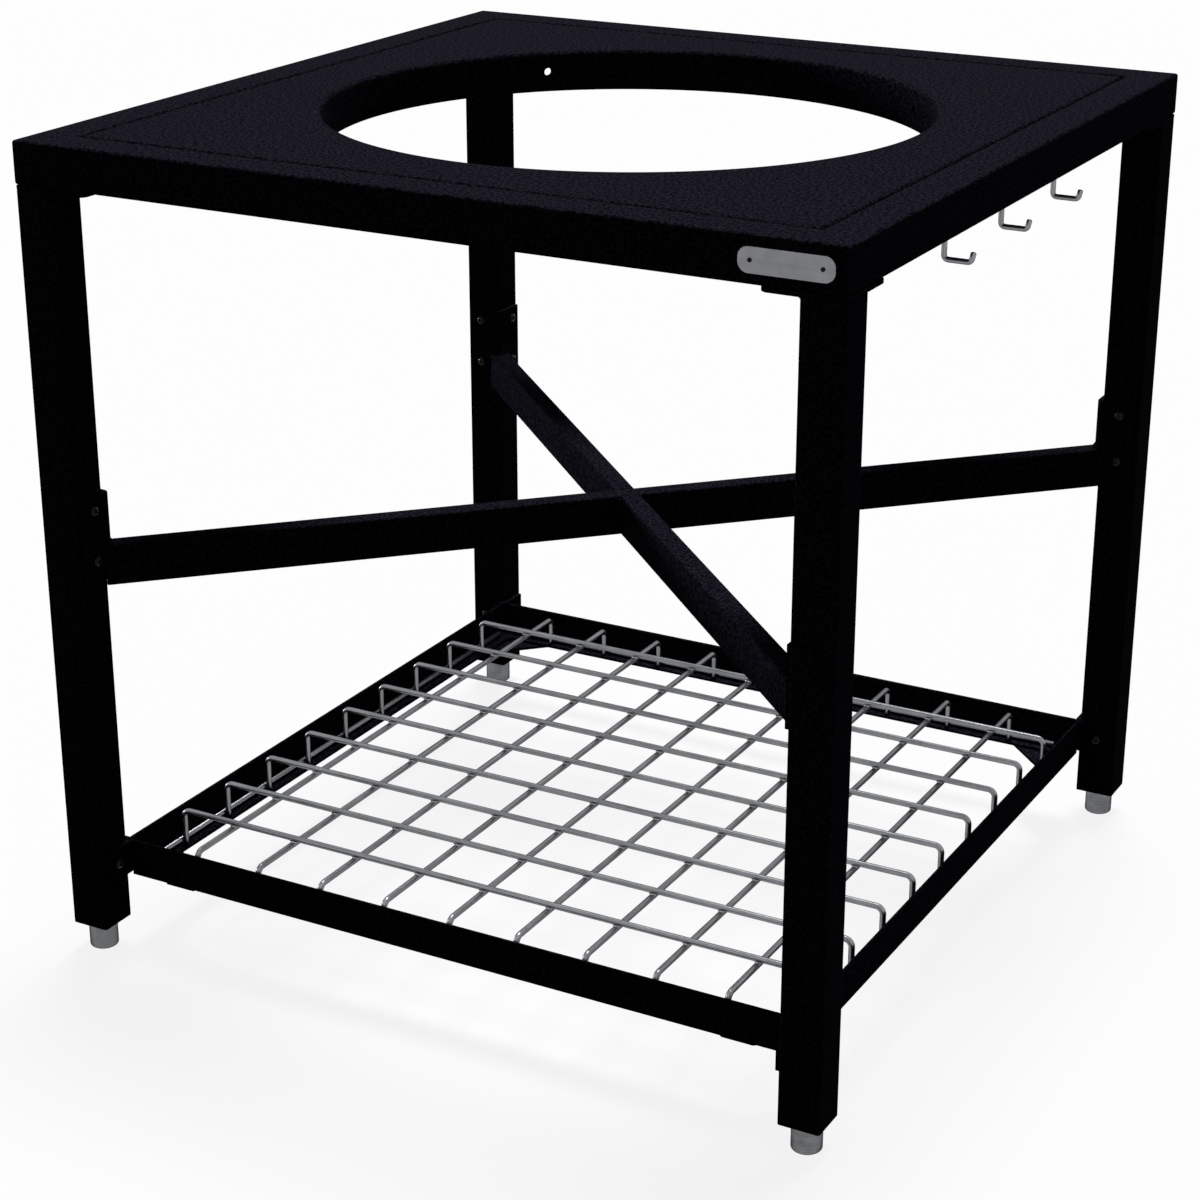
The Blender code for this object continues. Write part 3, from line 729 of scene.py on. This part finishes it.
# Flat plates with finer corners than the model's
def sheet_piece(name, outline, place, thickness, material, slot, replaced, edge):
    """A flat plate from an outline, upwards from its own z = 0, with its edges broken."""
    centre = sum(outline, Vector()) / len(outline)
    rings = []
    for inset, z in ((edge, 0.0), (0.0, edge), (0.0, thickness - edge), (edge, thickness)):
        ring = []
        for point in outline:
            away = point - centre
            away = Vector((away.x, away.y, 0)).normalized()
            ring.append(place @ (Vector((point.x, point.y, z)) - away * inset))
        rings.append(ring)
    form = Form()
    form.skin(rings, [0.0, edge, thickness - edge, thickness])
    return form.made(name, material, slot=slot, replaces=(replaced,), sharp=PLATE_SHARP)


def head_plates():
    """The plates between legs and rails, with their screw holes from below."""
    near, far = -HALF, -INNER + HEAD_PLATE_REACH
    corners = [(near, near, 0), (far, near, 0), (far, far, 0), (near, far, 0)]
    outline = filleted(corners, [TUBE_CORNER] + [HEAD_PLATE_CORNER] * 3, closed=True)
    hole = [(SCREW_HEAD + SCREW_ROOM + CUT_START, -CUT_START), (SCREW_HEAD + SCREW_ROOM, 0.0),
            (BOLT_SHANK + SCREW_ROOM, SCREW_SINK), (BOLT_SHANK + SCREW_ROOM, CUT_REACH)]
    for quarter, corner in enumerate(CORNERS):
        place = turned(quarter) @ Matrix.Translation((0, 0, PLATE_LOW))
        plate = sheet_piece("head_plate_" + corner, outline, place, PLATE_TOP - PLATE_LOW, COAT,
                            "black_coat", "leg_head_plate_" + corner, HEAD_PLATE_EDGE)
        holes = Form()
        for x, y in SCREW_PLACES:
            holes.lathe(hole, place @ Matrix.Translation((x, y, 0)), SCREW_FACETS)
        cut(plate, holes, "screw_holes_" + corner)


def name_plate():
    """The bare plate on the front rail."""
    low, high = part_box("name_plate")
    corners = [(low.x, low.z, 0), (high.x, low.z, 0), (high.x, high.z, 0), (low.x, high.z, 0)]
    outline = filleted(corners, [NAME_PLATE_END] * 4, closed=True, steps=PLATE_END_STEPS)
    place = Matrix(((1, 0, 0, 0), (0, 0, -1, high.y), (0, 1, 0, 0), (0, 0, 0, 1)))
    sheet_piece("bare_name_plate", outline, place, high.y - low.y, PLATE_STEEL, "brushed_plate",
                "name_plate", NAME_PLATE_EDGE)


# Folded panel and rolled hoop, in finer steps than the model's
def top_panel():
    """An open box of sheet with its folds rounded and the opening cut out."""
    half = INNER - PANEL_SLIT
    mesh = bpy.data.meshes.new("folded_panel")
    form = bmesh.new()
    bmesh.ops.create_cube(form, size=1)
    bmesh.ops.scale(form, vec=(2 * half, 2 * half, TOP - PANEL_LOW), verts=form.verts)
    bmesh.ops.translate(form, vec=(0, 0, (TOP + PANEL_LOW) / 2), verts=form.verts)
    underside = [face for face in form.faces if face.normal.z < -0.5]
    bmesh.ops.delete(form, geom=underside, context="FACES_ONLY")
    form.to_mesh(mesh)
    form.free()
    mesh.shade_smooth()
    mesh.materials.append(COAT)
    panel = linked("folded_panel", mesh)
    fold = panel.modifiers.new("folded_edges", "BEVEL")
    fold.width = PANEL_BEND
    fold.segments = FOLD_STEPS
    sheet = panel.modifiers.new("sheet", "SOLIDIFY")
    sheet.thickness = PANEL_SHEET
    sheet.offset = -1
    sheet.use_even_offset = True
    radius = HOOP_OUTER + GAP / 2
    hole = Form()
    hole.lathe([(radius, TOP - CUT_REACH), (radius, TOP + CUT_REACH)], Matrix(), RING_FACETS)
    cut(panel, hole, "panel_opening")
    panel.modifiers.new("faces", "WEIGHTED_NORMAL")
    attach(panel, "frame")
    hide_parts("top_panel")


def support_hoop():
    """A ring of flat bar with its inner top edge rounded and small holes through it."""
    inner = HOOP_OUTER - HOOP_WALL
    corners = [(HOOP_OUTER, TOP), (HOOP_OUTER, HOOP_LOW), (inner, HOOP_LOW), (inner, TOP)]
    section = filleted(corners, [HOOP_NICK / 3, HOOP_NICK, HOOP_NICK, HOOP_EDGE], closed=True,
                       steps=HOOP_EDGE_STEPS)
    turns = [2 * pi * index / RING_FACETS for index in range(RING_FACETS)]
    form = Form()
    form.skin([[(r * cos(turn), r * sin(turn), z) for r, z in section] for turn in turns],
              [HOOP_OUTER * turn for turn in turns], looped=True)
    hoop = form.made("rolled_hoop", COAT, replaces=("support_hoop",))
    holes = Form()
    for index in range(HOOP_HOLES):
        turn = Matrix.Rotation(pi / 4 + index * 2 * pi / HOOP_HOLES, 4, "Z")
        place = turn @ Matrix.Translation((inner + HOOP_WALL / 2, 0, TOP - HOOP_HOLE_DROP))
        place = place @ Matrix.Rotation(pi / 2, 4, "Y")
        holes.lathe([(HOOP_HOLE_RADIUS, -HOOP_WALL), (HOOP_HOLE_RADIUS, HOOP_WALL)], place, SCREW_FACETS)
    cut(hoop, holes, "hoop_holes")


# Wire shelf
def ladder_lines(reach):
    """For a ladder of this reach, where its rim wires, its wires' ends and its wires lie."""
    rim_line = reach - WIRE / 2
    drop_line = rim_line - WIRE + RIM_SINK
    outermost = drop_line - WIRE_END
    steps = [outermost * (2 * index / (WIRE_COUNT - 1) - 1) for index in range(WIRE_COUNT)]
    return rim_line, drop_line, steps


def shelf_ladder(name, replaced, quarter):
    """Nine bent wires along X and the two rim wires outside their ends, then turned by quarters."""
    low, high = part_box(replaced)
    reach, rim_end = (high.y, high.x) if quarter else (high.x, high.y)
    rim_line, drop_line, steps = ladder_lines(reach)
    deck = high.z - WIRE / 2
    level = low.z - GAP + RIM_LIFT
    wires, spots = Form(), Form()
    for y in steps:
        corners = [(-drop_line, y, low.z), (-drop_line, y, deck), (drop_line, y, deck), (drop_line, y, low.z)]
        wires.bar(filleted(corners, [WIRE_BEND] * 4), WIRE / 2)
    for x in (-rim_line, rim_line):
        wires.bar([(x, -rim_end, level), (x, 0, level), (x, rim_end, level)], WIRE / 2)
    for index, y in enumerate(steps):
        for side in (-1, 1):
            x = side * (rim_line + drop_line) / 2
            path = [(x, y, level - RIM_SPOT), (x, y, level + RIM_SPOT)]
            spots.bead(path, (0, 1, 0), RIM_SPOT, phase=0.37 * index)
    for form in (wires, spots):
        form.points = [turned(quarter) @ point for point in form.points]
    wires.made(name, BRIGHT, "wire_shelf", "bright_wire", (replaced,), sharp=ROUND_SHARP)
    spots.made(name + "_rim_welds", SPOT, "wire_shelf", "bright_wire")


def crossing_welds():
    """A flattened nugget between the wires at each crossing, turned and sized a little differently."""
    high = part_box("shelf_cross_wires")[1]
    level = (high.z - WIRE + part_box("shelf_long_wires")[1].z) / 2
    steps = ladder_lines(high.x)[2]
    profile = [*NUGGET, *[(radius, -height) for radius, height in reversed(NUGGET[:-1])]]
    form = Form()
    for i, x in enumerate(steps):
        for k, y in enumerate(steps):
            spin = (i * 7 + k * 3) % 5 * NUGGET_SPIN
            place = Matrix.Translation((x, y, level)) @ Matrix.Rotation(spin, 4, "Z")
            size = 1 + NUGGET_VARIES * sin(i * 2.1 + k * 1.3)
            form.lathe([(radius * size, height) for radius, height in profile], place, NUGGET_FACETS)
    form.made("shelf_crossing_welds", SPOT, "wire_shelf", "bright_wire", sharp=NUGGET_SHARP)


# Hooks
def tool_hooks():
    for index in range(3):
        name = f"tool_hook_{index + 1}"
        low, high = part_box(name)
        y = (low.y + high.y) / 2
        shank = low.x + HOOK_WIRE / 2
        arm = low.z + HOOK_WIRE / 2
        tip = high.x - HOOK_WIRE / 2
        corners = [(shank, y, high.z), (shank, y, arm), (tip - HOOK_LEAN, y, arm), (tip, y, arm + HOOK_RISE)]
        form = Form()
        form.bar(filleted(corners, [HOOK_BEND] * 4, steps=HOOK_BEND_STEPS), HOOK_WIRE / 2, HOOK_SIDES)
        form.made(f"bent_hook_{index + 1}", BRIGHT, slot="bright_wire", replaces=(name,), sharp=ROUND_SHARP)


# Fasteners
def socket_rings(lip, top, depth):
    """Rings from a round lip into a hexagon socket and down to its conical bottom."""
    rings = []
    for radius, height, six in ((SOCKET / cos(pi / 6) + lip, top, False), (SOCKET, top - SOCKET_EDGE, True),
                                (SOCKET, top - depth, True),
                                (SOCKET * SOCKET_CONE_END, top - depth - SOCKET_CONE, False)):
        ring = []
        for k in range(SCREW_FACETS):
            turn = 2 * pi * k / SCREW_FACETS
            across = (turn + pi / 6) % (pi / 3) - pi / 6
            size = radius / cos(across) if six else radius
            ring.append((size * cos(turn), size * sin(turn), height))
        rings.append(ring)
    return rings


def headed(form, profile, socket, place, spin):
    """A screw from its shank's end up to its head's rim, then its socket."""
    place = place @ Matrix.Rotation(spin, 4, "Z")
    rings = [circle(radius, height, SCREW_FACETS) for radius, height in profile] + socket
    rings = [[place @ Vector(point) for point in ring] for ring in rings]
    form.skin(rings, [SOCKET_UV_STEP * index for index in range(len(rings))])


def button_bolt(form, place, spin):
    """A button head on the bracket's face, with its shank through the hole."""
    profile = [(BOLT_TIP, -BOLT_LENGTH), (BOLT_SHANK, -BOLT_LENGTH + BOLT_TIP_LENGTH), (BOLT_SHANK, 0.0),
               (BOLT_HEAD - BOLT_RIM, 0.0), (BOLT_HEAD, BOLT_RIM)]
    for step in range(1, BOLT_DOME_STEPS):
        turn = step / BOLT_DOME_STEPS * BOLT_DOME
        rise = (BOLT_RISE - BOLT_RIM) * sin(turn) / sin(BOLT_DOME)
        profile.append((BOLT_HEAD * cos(turn), BOLT_RIM + rise))
    headed(form, profile, socket_rings(BOLT_SOCKET_LIP, BOLT_RISE, BOLT_SOCKET_DEPTH), place, spin)


def sunk_screw(form, place, spin):
    """A countersunk head, just under the plate's face."""
    profile = [(BOLT_TIP, -BOLT_LENGTH - SCREW_TIP_LENGTH), (BOLT_SHANK, -BOLT_LENGTH),
               (BOLT_SHANK, -SCREW_SINK)]
    profile += [(SCREW_HEAD + more, height) for more, height in SCREW_RIM]
    headed(form, profile, socket_rings(SCREW_SOCKET_LIP, 0.0, SCREW_SOCKET_DEPTH), place, spin)


def bracket_bolts():
    cross_middle = (CROSS_BRACKET_LOW + CROSS_BRACKET_TOP) / 2
    tray_middle = (TRAY_BRACKET_LOW + TRAY_BRACKET_TOP) / 2
    for name, heights in (("cross_bolts", (cross_middle - BOLT_PITCH / 2, cross_middle + BOLT_PITCH / 2)),
                          ("tray_bolts", (tray_middle,))):
        for quarter, corner in enumerate(CORNERS):
            form = Form()
            for index, z in enumerate(heights):
                places = (facing((-BRACKET_FACE, -LEG_AXIS, z), (1, 0, 0)),
                          facing((-LEG_AXIS, -BRACKET_FACE, z), (0, 1, 0)))
                for wing, place in enumerate(places):
                    spin = 0.7 * quarter + 1.9 * index + 0.8 * wing
                    button_bolt(form, turned(quarter) @ place, spin)
            form.made(f"{name}_{corner}", BOLT_BLACK)


def head_screws():
    for quarter, corner in enumerate(CORNERS):
        form = Form()
        for index, (x, y) in enumerate(SCREW_PLACES):
            place = turned(quarter) @ facing((x, y, PLATE_LOW + GAP), (0, 0, -1))
            sunk_screw(form, place, spin=0.9 * quarter + 0.4 * index)
        form.made("head_screws_" + corner, BOLT_BLACK)


def rivets():
    """The domed rivets of the name plate."""
    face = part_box("name_plate")[0].y
    for side in ("left", "right"):
        node = "name_plate_rivet_" + side
        low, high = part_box(node)
        head = (high.x - low.x) / 2
        rise = face - low.y - GAP
        turns = [step / RIVET_STEPS * pi / 2 for step in range(RIVET_STEPS)]
        profile = [(RIVET_BODY, rise - (high.y - low.y)), (RIVET_BODY, 0.0)]
        profile += [(head * cos(turn), rise * sin(turn)) for turn in turns]
        profile.append((head * RIVET_TIP, rise))
        place = facing(((low.x + high.x) / 2, face - GAP, (low.z + high.z) / 2), (0, -1, 0))
        form = Form()
        form.lathe(profile, place, RIVET_FACETS)
        form.made("rivet_" + side, BOLT_BLACK, replaces=(node,), sharp=ROUND_SHARP)


# Feet
def foot_pads():
    """Turned pads with a dished sole and a hole for the stud."""
    for corner in CORNERS:
        low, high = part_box("foot_pad_" + corner)
        centre = (low + high) / 2
        radius, top = (high.x - low.x) / 2, high.z
        hollow = STUD_RADIUS + GAP
        turns = [step / PAD_RIM_STEPS * pi / 2 for step in range(PAD_RIM_STEPS + 1)]
        profile = [*PAD_SOLE]
        profile += [(radius - PAD_RIM + PAD_RIM * sin(turn), PAD_RIM - PAD_RIM * cos(turn)) for turn in turns]
        profile += [(radius - less, top - drop) for less, drop in PAD_SHOULDER]
        profile += [(hollow + PAD_LIP, top), (hollow, top - PAD_LIP), (hollow, top - STUD_IN_PAD),
                    (PAD_MIDDLE, top - STUD_IN_PAD)]
        form = Form()
        form.lathe(profile, Matrix.Translation((centre.x, centre.y, 0)))
        form.made("turned_pad_" + corner, FOOT_STEEL, "foot_" + corner, "turned_steel",
                  ("foot_pad_" + corner,), sharp=ROUND_SHARP)


def foot_studs():
    """Studs with a real thread, from just inside the pad to just below their top."""
    for corner in CORNERS:
        low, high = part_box("foot_stud_" + corner)
        centre = ((low + high) / 2).xy
        start = low.z + STUD_IN_PAD - THREAD_IN_PAD
        rows = round((high.z - STUD_TIP_LENGTH - start) / THREAD_PITCH * THREAD_ROWS)
        rings = [circle(STUD_RADIUS - less, low.z + rise, THREAD_FACETS, centre) for less, rise in STUD_FOOT]
        for row in range(rows + 1):
            fade = min(1.0, row / THREAD_ROWS, (rows - row) / THREAD_ROWS)
            ring = []
            for k in range(THREAD_FACETS):
                turn = 2 * pi * k / THREAD_FACETS
                share = (row / THREAD_ROWS - k / THREAD_FACETS) % 1 * THREAD_ROWS
                here = THREAD_FLANK[int(share) % THREAD_ROWS]
                there = THREAD_FLANK[(int(share) + 1) % THREAD_ROWS]
                height = here + (there - here) * (share % 1)
                radius = STUD_RADIUS - THREAD_DEPTH * (1 - height * fade)
                ring.append((centre.x + radius * cos(turn), centre.y + radius * sin(turn),
                             start + row * THREAD_PITCH / THREAD_ROWS))
            rings.append(ring)
        rings.append(circle(STUD_RADIUS - THREAD_DEPTH - STUD_TIP, high.z, THREAD_FACETS, centre))
        form = Form()
        form.skin(rings, [ring[0][2] - low.z for ring in rings])
        form.made("threaded_stud_" + corner, ZINC, "foot_" + corner, "zinc_stud",
                  ("foot_stud_" + corner,), sharp=THREAD_SHARP)


# Welds
def leg_welds():
    """Fillets between the legs' two inner faces and the head plates."""
    end = -HALF + LEG_BEAD
    corners = [(end, -INNER, PLATE_LOW), (-INNER, -INNER, PLATE_LOW), (-INNER, end, PLATE_LOW)]
    path = filleted(corners, [TUBE_CORNER] * 3, steps=SEAM_BEND_STEPS)
    bend = len(path) - 3
    outward = [Vector((0, 1, -1)).lerp(Vector((1, 0, -1)), min(1, max(0, i - 1) / bend))
               for i in range(len(path))]
    for quarter, corner in enumerate(CORNERS):
        form = Form()
        form.bead(path, outward, LEG_BEAD, phase=0.31 * quarter, turn=turned(quarter))
        form.made("leg_weld_" + corner, WELD_COAT)


def cross_end_welds():
    """Beads round the cross tubes' ends, where they meet the brackets."""
    near = -BRACKET_FACE
    far = near - CROSS_THICKNESS / sqrt(2)
    corners = [(near, far, CROSS_TOP), (near, near, CROSS_TOP), (far, near, CROSS_TOP)]
    over = filleted(corners, [CROSS_SEAM_BEND] * 3, steps=SEAM_BEND_STEPS)
    for quarter, corner in enumerate(CORNERS):
        form = Form()
        for (x, y), out in zip(((near, far), (far, near)), CROSS_SEAM_SIDES):
            path = [(x, y, CROSS_BRACKET_LOW + BEAD), (x, y, CROSS_TOP)]
            form.bead(path, out, BEAD, phase=0.2 * quarter, turn=turned(quarter))
        form.bead(over, CROSS_SEAM_OVER, CROSS_TOP_BEAD, phase=0.4 * quarter, turn=turned(quarter))
        form.made("cross_end_weld_" + corner, WELD_COAT)


def cross_middle_welds():
    """Upright beads where the two half tubes butt against the whole one."""
    half = CROSS_THICKNESS / 2
    low, high = CROSS_LOW + MIDDLE_SEAM_INSET, CROSS_TOP - MIDDLE_SEAM_INSET
    for name, angle in (("left", 3 * pi / 4), ("right", -pi / 4)):
        turn = Matrix.Rotation(angle, 4, "Z")
        form = Form()
        for side in (-1, 1):
            path = [(half, side * half, low), (half, side * half, high)]
            form.bead(path, (1, side, 0), MIDDLE_BEAD, phase=0.3 * side, turn=turn)
        form.made("cross_middle_weld_" + name, WELD_COAT)


def tray_welds():
    """Upright beads between the tray rails' ends and the brackets."""
    face = -BRACKET_FACE
    low, high = TRAY_BRACKET_LOW + TRAY_SEAM_LOW, TRAY_TOP - TRAY_SEAM_TOP
    for quarter, corner in enumerate(CORNERS):
        form = Form()
        for x, y, out in ((face, -INNER, (1, -1, 0)), (-INNER, face, (-1, 1, 0))):
            path = [(x, y, low), (x, y, high)]
            form.bead(path, out, TRAY_BEAD, phase=0.6 * quarter, turn=turned(quarter))
        form.made("tray_weld_" + corner, WELD_COAT)


def strap_welds():
    """Short beads between the straps' ends and the tray's flanges."""
    edge = STRAP_SETBACK - INNER
    near = STRAP_ARM - 2 * INNER - edge
    far = near - STRAP_WIDTH * sqrt(2)
    start, end = far + STRAP_SEAM_INSET, near - STRAP_SEAM_INSET
    for quarter, corner in enumerate(CORNERS):
        form = Form()
        for path, out in (([(start, edge, TRAY_LOW), (end, edge, TRAY_LOW)], (0, -1, -1)),
                          ([(edge, start, TRAY_LOW), (edge, end, TRAY_LOW)], (-1, 0, -1))):
            form.bead(path, out, SMALL_BEAD, phase=0.45 * quarter, turn=turned(quarter))
        form.made("strap_weld_" + corner, WELD_COAT)


def panel_welds():
    """Stitches under the top: the panel to the rails, and the hoop to the panel."""
    form = Form()
    slit = -INNER + PANEL_SLIT / 2
    for quarter in range(4):
        for place in PANEL_STITCHES:
            path = [(place - PANEL_STITCH, slit, PANEL_LOW), (place + PANEL_STITCH, slit, PANEL_LOW)]
            form.bead(path, (0, 1, -1), SMALL_BEAD, phase=0.3 * quarter + place, turn=turned(quarter))
    form.made("panel_stitch_welds", WELD_COAT)
    form = Form()
    under = TOP - PANEL_SHEET - HOOP_STITCH_DROP
    spread = HOOP_STITCH / HOOP_OUTER
    for index in range(HOOP_STITCHES):
        middle = 2 * pi * (index + 0.5) / HOOP_STITCHES
        turns = [middle + spread * (step / HOOP_STITCH_STEPS - 0.5) * 2
                 for step in range(HOOP_STITCH_STEPS + 1)]
        path = [(HOOP_OUTER * cos(turn), HOOP_OUTER * sin(turn), under) for turn in turns]
        form.bead(path, [(cos(turn), sin(turn), -1) for turn in turns], SMALL_BEAD, phase=0.27 * index)
    form.made("hoop_stitch_welds", WELD_COAT)


def mitre_welds():
    """The ground seams of the top rails' mitres: thin square rings in the joints' gaps."""
    middle = (TOP + RAIL_LOW) / 2
    half = TUBE / 2 - MITRE_SINK
    outer = filleted(square(half), [TUBE_CORNER] * 4, True, MITRE_STEPS)
    inner = filleted(square(half - TUBE_WALL), [TUBE_WALL / 4] * 4, True, MITRE_STEPS)
    across_gap = Vector((1, -1, 0)).normalized()
    thick = (GAP - MITRE_ROOM) / 2
    for quarter, corner in enumerate(CORNERS):
        rings = []
        for loop, side in ((outer, -1), (outer, 1), (inner, 1), (inner, -1)):
            points = [Vector((-LEG_AXIS - across, -LEG_AXIS - across, middle + up)) for across, up in loop]
            rings.append([turned(quarter) @ (point + across_gap * side * thick) for point in points])
        form = Form()
        form.skin(rings, MITRE_UVS, looped=True)
        form.made("mitre_weld_" + corner, COAT)


# Floor, light and camera
def studio():
    """A pale floor and world, which look white and light little, and two lamps."""
    floor_mesh = bpy.data.meshes.new("floor")
    floor_mesh.from_pydata([(x, y, -GAP) for x, y in square(FLOOR_REACH)], [], [(0, 1, 2, 3)])
    floor = linked("floor", floor_mesh)
    pale = Surface("pale_floor", FLOOR_COLOUR, 0.8, 0.0, specular=0.0)
    seen = pale.seen()
    pale.set("Base Color", pale.mix(seen, (*FLOOR_COLOUR, 1), WHITE))
    glow = pale.node("ShaderNodeEmission", Color=WHITE, Strength=1.0).outputs[0]
    glow_share = pale.maths("MULTIPLY", seen, FLOOR_GLOW)
    mixed = pale.mix_shaders(glow_share, pale.shader.outputs[0], glow)
    pale.feed(pale.tree.nodes["Material Output"].inputs["Surface"], mixed)
    floor_mesh.materials.append(pale.material)

    world = bpy.data.worlds.new("studio")
    sky = Nodes(world)
    sky.tree.nodes.clear()
    lit = sky.node("ShaderNodeBackground", Color=WHITE, Strength=WORLD_LIGHT).outputs[0]
    white = sky.node("ShaderNodeBackground", Color=WHITE, Strength=1.0).outputs[0]
    sky.node("ShaderNodeOutputWorld", Surface=sky.mix_shaders(sky.seen(), lit, white))
    bpy.context.scene.world = world

    for name, direction, strength, angle in LAMPS:
        lamp = bpy.data.lights.new(name, "SUN")
        lamp.energy = strength
        lamp.angle = radians(angle)
        linked(name, lamp).rotation_euler = Vector(direction).to_track_quat("Z", "Y").to_euler()


def camera():
    """The photograph's viewpoint, tilted down instead of shifted."""
    lens = bpy.data.cameras.new("camera")
    lens.lens = CAMERA_LENS
    lens.sensor_width = CAMERA_SENSOR
    lens.sensor_height = CAMERA_SENSOR
    holder = linked("camera", lens)
    holder.location = CAMERA_PLACE
    holder.rotation_euler = (radians(90 - CAMERA_TILT), 0, radians(CAMERA_TURN))
    bpy.context.scene.camera = holder


dressed_nodes()
head_plates()
name_plate()
top_panel()
support_hoop()
shelf_ladder("shelf_wires_across", "shelf_cross_wires", 0)
shelf_ladder("shelf_wires_along", "shelf_long_wires", 1)
crossing_welds()
tool_hooks()
bracket_bolts()
head_screws()
rivets()
foot_pads()
foot_studs()
leg_welds()
cross_end_welds()
cross_middle_welds()
tray_welds()
strap_welds()
panel_welds()
mitre_welds()
studio()
camera()

bpy.context.scene.view_settings.view_transform = "Standard"
